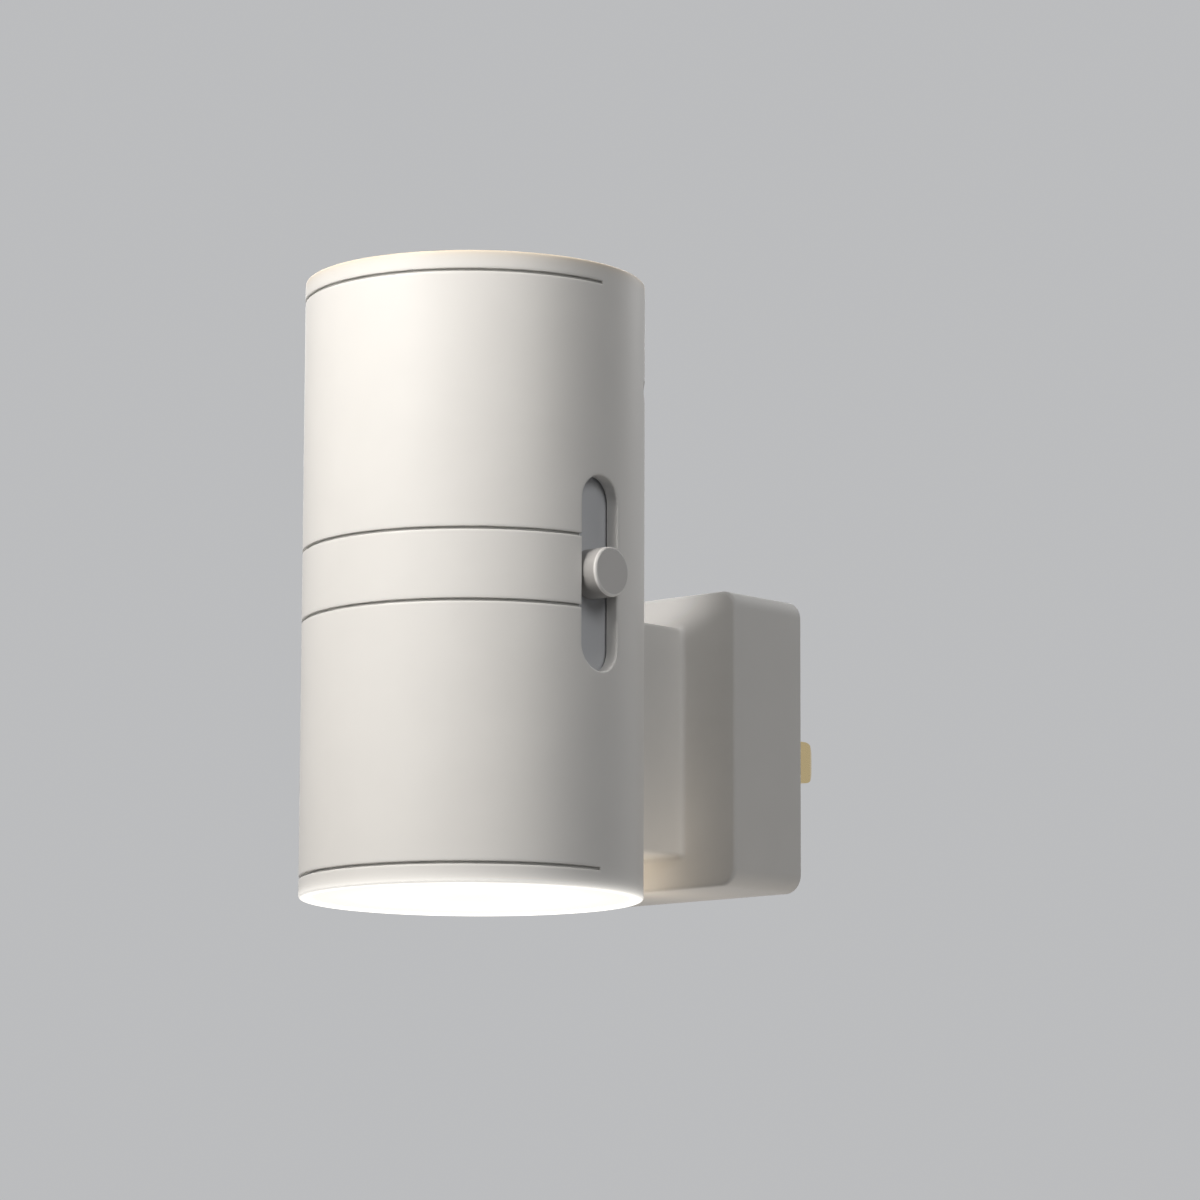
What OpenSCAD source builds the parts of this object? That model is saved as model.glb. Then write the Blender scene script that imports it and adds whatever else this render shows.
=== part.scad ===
// Plug-in night light: a round tube that shines up and down, carried on a short
// square neck by a flat plug base. A round knob slides in the tube's right side
// and sets the brightness, and a light sensor looks out at the tube's back right.
// Origin: centre of the plug base's back face. +Y goes into the wall, +Z is up,
// and +X is to the right of someone who faces the wall. Millimetres.

/* [Lamp tube] */
// Outside diameter of the tube
tube_d = 50; // [49:0.5:58]
// Height of the tube
tube_h = 90.8; // [90:0.2:110]
// Wall thickness of both halves of the tube
tube_wall = 2; // [1.8:0.1:2.2]
// Distance from the plug base's centre down to the tube's lower end
tube_drop = 26; // [26:0.5:36]
// Radius on the tube's outer rims
rim_r = 0.4; // [0.2:0.1:0.5]

/* [Trim grooves] */
// Width of each groove round the tube's front
groove_w = 0.45; // [0.3:0.05:0.8]
// Depth of each groove
groove_depth = 0.4; // [0.2:0.05:0.7]
// Distance from the tube's end to the middle of the end groove
end_ring_h = 2.9; // [2.5:0.1:6]
// Distance between the two middle grooves
band_h = 10.3; // [6:0.1:16]

/* [Knob and slot] */
// Diameter of the round knob
knob_d = 7.2; // [6.8:0.1:8]
// How far the knob stands out of the tube
knob_proud = 2.1; // [1:0.1:4]
// Radius on the knob's outer edge
knob_edge_r = 0.4; // [0.2:0.1:0.6]
// Travel of the knob each way from the middle
knob_travel = 10.3; // [6:0.1:10.8]
// Gap between the knob and the sides of its slot
knob_clear = 0.15; // [0.12:0.01:0.2]

/* [Lenses] */
// Width of the rim that shows around each lens
rim_w = 1.45; // [1.3:0.05:1.7]
// Depth of each lens below its rim
lens_recess = 0.3; // [0.1:0.1:0.5]
// Thickness of the lip that holds the lens in
lens_lip_t = 0.6; // [0.5:0.1:0.8]
// Thickness of the lens flange behind the lip
lens_flange_t = 1.2; // [1:0.1:1.6]
// Reach of the lens flange behind the lip
lens_grip = 0.45; // [0.3:0.05:0.5]

/* [Plug base] */
// Width of the base
base_w = 38; // [37:0.5:44]
// Height of the base
base_h = 44.3; // [43:0.1:50]
// Depth of the base from wall to front
base_depth = 15.5; // [15:0.5:20]
// Corner radius of the base seen from the front
base_corner_r = 2.8; // [2:0.1:4]
// Radius on the base's front edge
base_edge_r = 0.6; // [0.3:0.1:1]
// Wall thickness of the base
base_wall = 2.4; // [2:0.1:2.6]
// Thickness of the back plate
plate_t = 2.4; // [2.2:0.1:3]
// Width of the base's rim around the back plate
plate_rim = 1.4; // [1.2:0.1:1.6]

/* [Neck] */
// Width of the neck
neck_w = 17.5; // [17:0.5:20]
// Height of the neck
neck_h = 34.4; // [32:0.1:34.6]
// Free space between the tube's back and the base's front
neck_gap = 11.9; // [10:0.1:20]
// Radius where the neck's sides meet the base
neck_fillet_r = 0.8; // [0.4:0.1:1.4]

/* [Plug blades] */
// Distance between the middles of the two blades
blade_pitch = 12.7; // [12.6:0.05:12.8]
// Thickness of each blade
blade_t = 1.5; // [1.4:0.02:1.6]
// Width of the narrow live blade
line_blade_w = 6.35; // [6.1:0.05:6.6]
// Width of the wide neutral blade
neutral_blade_w = 7.94; // [7.7:0.02:8]
// Length of the blades outside the base
blade_out = 17.5; // [15.9:0.1:18.2]

/* [Hidden] */
$fn = 96;

// Colours
shell_white = [0.88, 0.87, 0.85];
knob_white = [0.85, 0.84, 0.82];
lens_glow = [1, 0.97, 0.9];
reflector_white = [0.94, 0.94, 0.92];
led_yellow = [0.95, 0.82, 0.35];
frame_grey = [0.72, 0.72, 0.7];
board_green = [0.1, 0.36, 0.2];
chip_black = [0.06, 0.06, 0.07];
smoked = [0.14, 0.13, 0.13];
lead_red = [0.62, 0.1, 0.08];
brass = [0.8, 0.66, 0.38];
steel = [0.62, 0.63, 0.65];
cap_blue = [0.12, 0.14, 0.3];
resistor_tan = [0.72, 0.6, 0.42];

// A little more than nothing, so that a cut runs clear through a face
over = 0.5;

// The tube's place
tube_r = tube_d / 2;
tube_in_r = tube_r - tube_wall;
root_r = tube_in_r + tube_wall / 4; // how far rails, bosses and lands root in the wall
tube_mid = tube_h / 2 - tube_drop;
half_h = tube_h / 2;
axis_y = -(base_depth + neck_gap + tube_r);

// Lens seats, measured from the tube's middle
lens_clear = 0.1;
lens_edge_r = 0.1;
lens_open_r = tube_r - rim_w;
lens_groove_r = lens_open_r + lens_grip;
lens_groove_top = half_h - lens_lip_t;
lens_seat_z = lens_groove_top - lens_flange_t - lens_clear;

// Reflector, light board and the chassis platform under each lens
reflector_h = 5;
reflector_flange_t = 0.8;
reflector_flange_w = 1;
reflector_base_r = 16.5;
reflector_clear = 0.1;
led_board_r = 18.5;
led_board_t = 1.2;
led_board_z = lens_seat_z - reflector_h;
led_count = 8;
led_ring_r = 12;
led_size = [2.8, 3.5, 0.8];
platform_t = 1.8;
platform_z = led_board_z - led_board_t;
deck_z = platform_z - platform_t;

// Shutter that closes the slot from inside, and its two rails
slot_end_gap = 0.15;
slot_w = knob_d + 2 * knob_clear;
slot_len = slot_w + 2 * knob_travel + 2 * slot_end_gap;
shutter_gap = 0.3;
shutter_t = 0.8;
shutter_lap = 0.6;
shutter_side = 2.45;
shutter_r = tube_in_r - shutter_gap;
shutter_w = slot_w + 2 * shutter_side;
shutter_len = slot_len + 2 * knob_travel + 2 * shutter_lap;
rail_t = 1;
rail_len = shutter_len + 2 * knob_travel + 2 * shutter_lap;
rail_lip_w = 0.7;
rail_lip_t = 0.6;
rail_lip_out_r = shutter_r - shutter_t - shutter_gap;
rail_lip_in_r = rail_lip_out_r - rail_lip_t;

// Chassis: two platforms on a spine, clear of the rails
platform_gap = 0.2;
platform_r = rail_lip_in_r - platform_gap;
land_depth = 6;
land_y = tube_r - land_depth;
spine_w = 21;
spine_t = 2.4;
spine_front = land_y - spine_t;

// Tenon of the neck that passes through the rear shell
tenon_step = 1;
tenon_w = neck_w - 2 * tenon_step;
tenon_h = neck_h - 2 * tenon_step;
tenon_clear = 0.15;
land_margin = 1;
saddle_gap = 0.1;
neck_corner_r = 0.6;
cavity_corner_r = 0.6;
passage_w = 9;
passage_h = 12;
spine_hole_w = 6;
spine_hole_h = 8;

// Screws, all of one thread
screw_d = 2.2;
screw_fit = 0.05;
screw_hole_d = 2.7;
screw_head_clear = 0.3;
recess_w = 0.7;
recess_len = 2.6;
recess_depth = 0.8;
pilot_extra = 1;

shell_screw_x = 14.5;
shell_screw_z = 23;
shell_boss_d = 7;
shell_head_d = 4.6;
shell_head_t = 1.8;
shell_seat_y = 8;
shell_bite = 8;

neck_screw_z = 11.5;
neck_head_d = 4.4;
neck_head_t = 1.6;
neck_bite = 8.5;

plate_screw_inset_x = 5.6;
plate_screw_inset_z = 5.55;
plate_boss_d = 5;
plate_head_d = 4.4;
plate_head_t = 1.3;
plate_head_sink = 0.2;
plate_bite = 7;

// Control board, upright beside the tube's middle
control_board_x = 6.6;
board_t = 1.6;
board_face = control_board_x + board_t;
control_board_w = 26;
board_groove = 0.8;
board_clear = 0.1;
control_chip_size = [1.5, 3.9, 4.9];
control_chip_z = 14;

// Slide dimmer on the control board
dimmer_depth = 7;
dimmer_w = 9;
dimmer_wall = 0.8;
dimmer_end = 4.2;
slider_gap = 0.3;
carriage_h = 7;
tab_t = 1.3;
tab_h = 4.2;
dimmer_len = 2 * knob_travel + carriage_h + 2 * dimmer_end;
dimmer_face = board_face + dimmer_depth;

// Knob stem with the socket that grips the dimmer's tab
stem_d = 6;
stem_clear = 0.1;
stem_gap = 1.8;
stem_start = dimmer_face + stem_gap;
socket_depth = 3.8;
socket_clear = 0.1;
tab_end_gap = 0.2;
knob_seat_gap = 0.05;
knob_seat = shutter_r + knob_seat_gap;

// Light sensor: an oval window in the tube's back right, and the sensor behind it
sensor_turn = 41;
sensor_z = 29.6;
window_w = 6;
window_h = 2.8;
window_clear = 0.05;
window_recess = 0.45;
window_flange = 0.7;
window_flange_t = 1.2;
window_edge_gap = 0.1;
sensor_d = 3;
sensor_len = 3.6;
sensor_gap = 0.4;
sensor_leg_d = 0.5;
sensor_leg_z = 0.8;
window_back = sqrt(pow(tube_in_r, 2) - pow(window_w / 2 + window_flange, 2)) - window_edge_gap;
sensor_tip = window_back - window_flange_t - sensor_gap;

// Leads
lead_d = 1.2;
lead_bend_r = 2;
supply_lead_z = 1.6;
supply_turn_y = 10;
led_lead_y = 2.5;
led_lead_drop = 5;
led_hole_w = 2.2;
led_hole_l = 7.2;

// Driver board inside the base
driver_gap = 2.6;
driver_back = -(plate_t + driver_gap);
driver_front = driver_back - board_t;
driver_clear = 0.2;
driver_h = 26;
driver_w = base_w - 2 * base_wall - 2 * driver_clear;
driver_rib_w = 2.2;
driver_rib_h = 18;
cavity_front = -(base_depth - base_wall);
plate_clear = 0.1;

// Parts on the driver board
rectifier_size = [4.7, 2.5, 3.9];
rectifier_at = [-9.5, 7.5];
capacitor_d = 6.3;
capacitor_len = 11;
capacitor_at = [9.2, 0];
inductor_d = 6;
inductor_h = 6;
inductor_flange_t = 1;
inductor_core_d = 4;
inductor_at = [-9.5, -5];
resistor_d = 2.6;
resistor_len = 7;
resistor_z = 9.5;
resistor_leg_d = 0.6;
resistor_leg_x = 5;
driver_chip_size = [4.9, 1.5, 3.9];
driver_chip_at = [0, -8.5];

// Blade shape
blade_shoulder = 1;
blade_slot_clear = 0.1;
blade_tip_r = 2;
blade_bevel_t = 0.4;
blade_bevel_len = 0.8;
blade_hole_d = 3.2;
blade_hole_from_tip = 4.7;

// ---------------------------------------------------------------- helpers

// A box between two opposite corners
module box(low, high) {
    translate(low) cube(high - low);
}

// A rectangle with true round corners, centred
module round_rect(w, h, r) {
    square([w - 2 * r, h], center = true);
    square([w, h - 2 * r], center = true);
    for (x = [-1, 1], y = [-1, 1]) translate([x * (w / 2 - r), y * (h / 2 - r)]) circle(r);
}

// A slot outline with round ends, its length along the second axis
module stadium(len, w) {
    square([w, len - w], center = true);
    for (y = [-1, 1]) translate([0, y * (len - w) / 2]) circle(d = w);
}

// What a square corner loses when it is rounded: the corner is at the origin and
// the material lies towards x < 0 and y < 0
module corner_loss(r) {
    difference() {
        translate([-r, -r]) square(r + over);
        translate([-r, -r]) circle(r);
    }
}

// What a square corner at the origin loses when it is bevelled: w is the bevel's
// reach across the end and len its reach along the side
module bevel_loss(w, len) {
    polygon([[over, -len * (1 + over / w)], [over, over], [-w * (1 + over / len), over]]);
}

// A prism along Y from y0 to y1, with its outline drawn in X and Z
module along_y(y0, y1) {
    translate([0, y1, 0]) rotate([90, 0, 0]) linear_extrude(y1 - y0) children();
}

// A prism along X from x0 to x1, with its outline drawn in Y and Z
module along_x(x0, x1) {
    translate([x0, 0, 0]) rotate([90, 0, 90]) linear_extrude(x1 - x0) children();
}

// A round bar along Y from y0 to y1 at x, z
module bar_y(d, y0, y1, x, z) {
    translate([x, y1, z]) rotate([90, 0, 0]) cylinder(d = d, h = y1 - y0);
}

// A round bar along X from x0 to x1
module bar_x(d, x0, x1) {
    translate([x0, 0, 0]) rotate([0, 90, 0]) cylinder(d = d, h = x1 - x0);
}

// The children in the tube's own place: its axis on Z and its middle at zero
module at_tube() {
    translate([0, axis_y, tube_mid]) children();
}

// The same, upside down, for the lower light
module at_tube_below() {
    at_tube() mirror([0, 0, 1]) children();
}

// A screw along Y whose head lies at y > 0 and whose shank bites towards y < 0
module screw(head_d, head_t, bite) {
    difference() {
        union() {
            bar_y(head_d, 0, head_t, 0, 0);
            bar_y(screw_d, -bite, over, 0, 0);
        }
        for (turn = [0, 90]) rotate([0, turn, 0]) {
            box([-recess_len / 2, head_t - recess_depth, -recess_w / 2],
                [recess_len / 2, head_t + over, recess_w / 2]);
        }
    }
}

// The four places of the shell screws in the tube
module at_shell_screws() {
    for (x = [-1, 1], z = [-1, 1]) translate([x * shell_screw_x, 0, z * shell_screw_z]) children();
}

// The four places of the back plate's screws
module at_plate_screws() {
    for (x = [-1, 1], z = [-1, 1]) {
        translate([x * (base_w / 2 - plate_screw_inset_x), 0, z * (base_h / 2 - plate_screw_inset_z)])
            children();
    }
}

// ---------------------------------------------------------------- lamp tube

// Section of the tube's wall, with the lens seats at both ends
module wall_section() {
    difference() {
        translate([tube_in_r, -half_h]) square([tube_wall, tube_h]);
        for (end = [0, 1]) mirror([0, end]) {
            translate([tube_in_r - over, lens_seat_z])
                square([lens_groove_r - tube_in_r + over, lens_groove_top - lens_seat_z]);
            translate([tube_in_r - over, lens_groove_top - over])
                square([lens_open_r - tube_in_r + over, lens_lip_t + 2 * over]);
            translate([tube_r, half_h]) corner_loss(rim_r);
        }
    }
}

// Sections of the four trim grooves
module groove_sections() {
    for (z = [-1, 1], h = [half_h - end_ring_h, band_h / 2]) {
        translate([tube_r - groove_depth, z * h - groove_w / 2])
            square([groove_depth + over, groove_w]);
    }
}

// The slot that the knob runs in, cut through the tube's right side
module slot_cut() {
    along_x(tube_in_r - over, tube_r + over) stadium(slot_len, slot_w);
}

// One rail beside the shutter, on the side that the sign says. Its lip reaches
// behind the shutter and keeps it against the wall.
module shutter_rail(side) {
    rail_y = shutter_w / 2 + shutter_gap;
    lip_y = shutter_w / 2 - rail_lip_w;
    mirror([0, side > 0 ? 0 : 1, 0]) difference() {
        union() {
            intersection() {
                box([0, rail_y, -rail_len / 2], [tube_r, rail_y + rail_t, rail_len / 2]);
                cylinder(r = root_r, h = rail_len, center = true);
            }
            intersection() {
                box([0, lip_y, -rail_len / 2], [tube_r, rail_y + rail_t, rail_len / 2]);
                cylinder(r = rail_lip_out_r, h = rail_len, center = true);
            }
        }
        cylinder(r = rail_lip_in_r, h = rail_len + over, center = true);
    }
}

// A screw boss along Y from the parting plane to the wall, on the side that the sign says
module shell_boss(side) {
    bar_y(shell_boss_d, side > 0 ? 0 : -tube_r, side > 0 ? tube_r : 0, 0, 0);
}

// Everything that both halves of the tube have, on the side that the sign says
module half_tube(side) {
    difference() {
        union() {
            children();
            shutter_rail(side);
            intersection() {
                at_shell_screws() shell_boss(side);
                cylinder(r = root_r, h = tube_h, center = true);
            }
        }
        slot_cut();
    }
}

module front_shell() {
    color(shell_white) at_tube() difference() {
        half_tube(-1) rotate([0, 0, 180]) rotate_extrude(angle = 180) difference() {
            wall_section();
            groove_sections();
        }
        at_shell_screws()
            bar_y(screw_d + 2 * screw_fit, -shell_bite - pilot_extra, over, 0, 0);
    }
}

// Flat land inside the rear shell that the chassis is drawn against
module spine_land() {
    neck_mid = -tube_mid;
    intersection() {
        translate([0, 0, neck_mid]) box([-spine_w / 2, land_y, -tenon_h / 2 - land_margin],
            [spine_w / 2, tube_r, tenon_h / 2 + land_margin]);
        cylinder(r = root_r, h = tube_h, center = true);
    }
}

// The sensor window's own place: its outward direction on +X
module at_sensor() {
    rotate([0, 0, sensor_turn]) translate([0, 0, sensor_z]) children();
}

// A prism along X from x0 to x1 with the window's oval outline
module oval_x(w, h, x0, x1) {
    along_x(x0, x1) rotate([0, 0, 90]) stadium(w, h);
}

module rear_shell() {
    color(shell_white) at_tube() difference() {
        half_tube(1) {
            rotate_extrude(angle = 180) wall_section();
            spine_land();
        }
        at_shell_screws() {
            bar_y(screw_hole_d, -over, tube_r, 0, 0);
            bar_y(shell_head_d + 2 * screw_head_clear, shell_seat_y, tube_r + over, 0, 0);
        }
        translate([0, 0, -tube_mid])
            box([-tenon_w / 2 - tenon_clear, land_y - over, -tenon_h / 2 - tenon_clear],
                [tenon_w / 2 + tenon_clear, tube_r + over, tenon_h / 2 + tenon_clear]);
        at_sensor() oval_x(window_w, window_h, tube_in_r - tube_wall, tube_r + over);
    }
}

module shell_screws() {
    color(steel) at_tube() at_shell_screws()
        translate([0, shell_seat_y, 0]) screw(shell_head_d, shell_head_t, shell_seat_y + shell_bite);
}

// ---------------------------------------------------------------- light units

// A frosted disc with a flange that the lip holds
module lens() {
    face_z = half_h - lens_recess;
    face_r = lens_open_r - lens_clear;
    color(lens_glow) rotate_extrude() difference() {
        union() {
            translate([0, lens_seat_z]) square([lens_groove_r - lens_clear, lens_flange_t]);
            translate([0, lens_seat_z]) square([face_r, face_z - lens_seat_z]);
        }
        translate([face_r, face_z]) corner_loss(lens_edge_r);
    }
}

// A flared ring between the light board and the lens
module reflector() {
    flare_r = tube_in_r - reflector_clear;
    flange_z = reflector_h - reflector_flange_t;
    color(reflector_white) translate([0, 0, led_board_z]) rotate_extrude() polygon([
        [reflector_base_r, 0],
        [led_board_r, 0],
        [flare_r - reflector_flange_w + reflector_clear, flange_z],
        [flare_r, flange_z],
        [flare_r, reflector_h],
        [flare_r - reflector_flange_w, reflector_h]
    ]);
}

module leds() {
    color(led_yellow) for (i = [0:led_count - 1]) {
        rotate([0, 0, i * 360 / led_count]) translate([led_ring_r, 0, led_board_z + led_size[2] / 2])
            cube(led_size, center = true);
    }
}

module led_board() {
    color(reflector_white) translate([0, 0, platform_z]) cylinder(r = led_board_r, h = led_board_t);
}

module upper_lens() { at_tube() lens(); }
module lower_lens() { at_tube_below() lens(); }
module upper_reflector() { at_tube() reflector(); }
module lower_reflector() { at_tube_below() reflector(); }
module upper_leds() { at_tube() leds(); }
module lower_leds() { at_tube_below() leds(); }
module upper_led_board() { at_tube() led_board(); }
module lower_led_board() { at_tube_below() led_board(); }

// ---------------------------------------------------------------- chassis and controls

// One platform: a disc with a flat at the back, a groove for the control board
// and a hole for the leads
module platform() {
    difference() {
        translate([0, 0, deck_z]) cylinder(r = platform_r, h = platform_t);
        box([-platform_r, land_y, deck_z - over], [platform_r, platform_r, platform_z + over]);
        box([control_board_x - board_clear, -control_board_w / 2 - board_clear, deck_z - over],
            [board_face + board_clear, control_board_w / 2 + board_clear, deck_z + board_groove]);
        translate([control_board_x - lead_bend_r, 0, deck_z - over])
            linear_extrude(platform_t + 2 * over) stadium(led_hole_l, led_hole_w);
    }
}

module chassis() {
    color(frame_grey) at_tube() difference() {
        union() {
            platform();
            mirror([0, 0, 1]) platform();
            box([-spine_w / 2, spine_front, -deck_z - over], [spine_w / 2, land_y, deck_z + over]);
        }
        translate([0, 0, -tube_mid]) {
            box([-spine_hole_w / 2, spine_front - over, -spine_hole_h / 2],
                [spine_hole_w / 2, land_y + over, spine_hole_h / 2]);
            for (z = [-1, 1])
                bar_y(screw_hole_d, spine_front - over, land_y + over, 0, z * neck_screw_z);
        }
    }
}

module neck_screws() {
    color(steel) translate([0, axis_y + spine_front, 0]) for (z = [-1, 1]) {
        translate([0, 0, z * neck_screw_z]) mirror([0, 1, 0])
            screw(neck_head_d, neck_head_t, spine_t + neck_bite);
    }
}

module control_board() {
    top = deck_z + board_groove - board_clear;
    color(board_green) at_tube() box([control_board_x, -control_board_w / 2, -top],
        [board_face, control_board_w / 2, top]);
}

module control_chip() {
    color(chip_black) at_tube()
        translate([control_board_x - control_chip_size[0] / 2, 0, control_chip_z])
        cube(control_chip_size, center = true);
}

module dimmer_body() {
    slit = knob_travel + tab_h / 2 + slider_gap;
    color(steel) at_tube() difference() {
        box([board_face, -dimmer_w / 2, -dimmer_len / 2], [dimmer_face, dimmer_w / 2, dimmer_len / 2]);
        box([board_face + dimmer_wall, dimmer_wall - dimmer_w / 2, dimmer_wall - dimmer_len / 2],
            [dimmer_face - dimmer_wall, dimmer_w / 2 - dimmer_wall, dimmer_len / 2 - dimmer_wall]);
        box([dimmer_face - dimmer_wall - over, -tab_t / 2 - slider_gap, -slit],
            [dimmer_face + over, tab_t / 2 + slider_gap, slit]);
    }
}

module dimmer_lever() {
    inside = dimmer_wall + slider_gap;
    carriage_w = dimmer_w - 2 * inside;
    color(chip_black) at_tube() {
        box([board_face + inside, -carriage_w / 2, -carriage_h / 2],
            [dimmer_face - inside, carriage_w / 2, carriage_h / 2]);
        box([dimmer_face - inside - over, -tab_t / 2, -tab_h / 2],
            [stem_start + socket_depth - tab_end_gap, tab_t / 2, tab_h / 2]);
    }
}

module slot_shutter() {
    color(knob_white) at_tube() difference() {
        intersection() {
            cylinder(r = shutter_r, h = shutter_len, center = true);
            box([0, -shutter_w / 2, -shutter_len / 2], [shutter_r, shutter_w / 2, shutter_len / 2]);
        }
        cylinder(r = shutter_r - shutter_t, h = shutter_len + 2 * over, center = true);
        bar_x(stem_d + 2 * stem_clear, 0, tube_r);
    }
}

// A round knob on a stem: it is turned about X
module slide_knob() {
    knob_r = knob_d / 2;
    knob_face = tube_r + knob_proud;
    color(knob_white) at_tube() difference() {
        rotate([0, 90, 0]) rotate_extrude() difference() {
            union() {
                translate([0, knob_seat]) square([knob_r, knob_face - knob_seat]);
                translate([0, stem_start]) square([stem_d / 2, knob_face - stem_start]);
            }
            translate([knob_r, knob_face]) corner_loss(knob_edge_r);
        }
        box([stem_start - over, -tab_t / 2 - socket_clear, -tab_h / 2 - socket_clear],
            [stem_start + socket_depth, tab_t / 2 + socket_clear, tab_h / 2 + socket_clear]);
    }
}

module sensor_window() {
    color(smoked) at_tube() at_sensor() {
        oval_x(window_w - 2 * window_clear, window_h - 2 * window_clear,
            window_back - window_flange_t, tube_r - window_recess);
        oval_x(window_w + 2 * window_flange, window_h + 2 * window_flange,
            window_back - window_flange_t, window_back);
    }
}

module photo_sensor() {
    dome_x = sensor_tip - sensor_d / 2;
    color(smoked) at_tube() difference() {
        at_sensor() {
            bar_x(sensor_d, sensor_tip - sensor_len, dome_x);
            translate([dome_x, 0, 0]) sphere(d = sensor_d);
            for (z = [-1, 1]) translate([0, 0, z * sensor_leg_z])
                bar_x(sensor_leg_d, board_face, sensor_tip - sensor_len + over);
        }
        box([0, -tube_r, 0], [board_face, tube_r, half_h]);
    }
}

// A quarter turn of lead that starts at the origin along -X and ends along +Z
module lead_bend() {
    translate([0, 0, lead_bend_r]) rotate([90, 0, 0]) rotate([0, 0, 180]) rotate_extrude(angle = 90)
        translate([lead_bend_r, 0]) circle(d = lead_d);
}

module led_leads() {
    start_z = deck_z - led_lead_drop;
    rise_z = start_z + lead_bend_r;
    color(lead_red) for (end = [0, 1]) at_tube() mirror([0, 0, end]) for (y = [-1, 1]) {
        translate([0, y * led_lead_y, 0]) {
            translate([control_board_x, 0, start_z]) lead_bend();
            translate([control_board_x - lead_bend_r, 0, rise_z])
                cylinder(d = lead_d, h = platform_z - rise_z);
        }
    }
}

// ---------------------------------------------------------------- plug base

// The base's outer form: four posts with rounded front ends, joined
module base_form() {
    post_x = base_w / 2 - base_corner_r;
    post_z = base_h / 2 - base_corner_r;
    hull() for (x = [-1, 1], z = [-1, 1]) {
        translate([x * post_x, 0, z * post_z]) rotate([90, 0, 0]) rotate_extrude($fn = 40) difference() {
            square([base_corner_r, base_depth]);
            translate([base_corner_r, base_depth]) corner_loss(base_edge_r, $fn = 32);
        }
    }
}

// Outline of the neck with a fillet at its root: x across, y towards the base.
// It runs from the origin to y = len and is flared over the last stretch.
module flared_outline(w, len) {
    flare_w = w + 2 * neck_fillet_r;
    difference() {
        union() {
            translate([-w / 2, 0]) square([w, len]);
            translate([-flare_w / 2, len - neck_fillet_r]) square([flare_w, neck_fillet_r]);
        }
        for (x = [-1, 1]) translate([x * flare_w / 2, len - neck_fillet_r]) circle(neck_fillet_r);
    }
}

module neck_form() {
    front_y = -base_depth;
    start_y = axis_y + land_y;
    flare_y = front_y - 2 * neck_fillet_r;
    difference() {
        union() {
            along_y(start_y, front_y + over) round_rect(neck_w, neck_h, neck_corner_r);
            intersection() {
                translate([0, flare_y, -neck_h / 2 - neck_fillet_r])
                    linear_extrude(neck_h + 2 * neck_fillet_r)
                    flared_outline(neck_w, 2 * neck_fillet_r);
                translate([-neck_w / 2 - neck_fillet_r, flare_y, 0])
                    rotate([0, 90, 0]) linear_extrude(neck_w + 2 * neck_fillet_r)
                    flared_outline(neck_h, 2 * neck_fillet_r);
            }
        }
        translate([0, axis_y, -neck_h]) cylinder(r = tube_r + saddle_gap, h = 2 * neck_h);
    }
    along_y(start_y, axis_y + tube_r + over) square([tenon_w, tenon_h], center = true);
}

module base_housing() {
    inner_w = base_w - 2 * base_wall;
    inner_h = base_h - 2 * base_wall;
    corner_r = max(base_corner_r - base_wall, cavity_corner_r);
    color(shell_white) difference() {
        union() {
            difference() {
                union() {
                    base_form();
                    neck_form();
                }
                along_y(cavity_front, over) round_rect(inner_w, inner_h, corner_r);
            }
            at_plate_screws() bar_y(plate_boss_d, cavity_front - over, -plate_t, 0, 0);
            for (x = [0, 1]) mirror([x, 0, 0])
                box([inner_w / 2 - driver_rib_w, cavity_front - over, -driver_rib_h / 2],
                    [inner_w / 2 + over, driver_front, driver_rib_h / 2]);
        }
        along_y(-plate_t, over)
            round_rect(base_w - 2 * plate_rim, base_h - 2 * plate_rim, base_corner_r - plate_rim);
        at_plate_screws()
            bar_y(screw_d + 2 * screw_fit, -plate_t - plate_bite - pilot_extra, over, 0, 0);
        along_y(axis_y + land_y - over, cavity_front + over)
            square([passage_w, passage_h], center = true);
        for (z = [-1, 1])
            bar_y(screw_d + 2 * screw_fit, axis_y + land_y - over,
                axis_y + land_y + neck_bite + pilot_extra, 0, z * neck_screw_z);
    }
}

// The slot for one blade of width w at x
module blade_slot(w, x) {
    clear = 2 * blade_slot_clear;
    translate([x, 0, 0]) cube([blade_t + clear, 2 * plate_t + 2 * over, w + clear], center = true);
}

module back_plate() {
    rim = plate_rim + plate_clear;
    seat_y = -plate_head_t - plate_head_sink;
    color(shell_white) difference() {
        along_y(-plate_t, 0) round_rect(base_w - 2 * rim, base_h - 2 * rim, base_corner_r - rim);
        blade_slot(neutral_blade_w, -blade_pitch / 2);
        blade_slot(line_blade_w, blade_pitch / 2);
        at_plate_screws() {
            bar_y(screw_hole_d, -plate_t - over, over, 0, 0);
            bar_y(plate_head_d + 2 * screw_head_clear, seat_y, over, 0, 0);
        }
    }
}

module plate_screws() {
    seat_y = -plate_head_t - plate_head_sink;
    color(steel) at_plate_screws() translate([0, seat_y, 0])
        screw(plate_head_d, plate_head_t, plate_t + seat_y + plate_bite);
}

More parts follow.
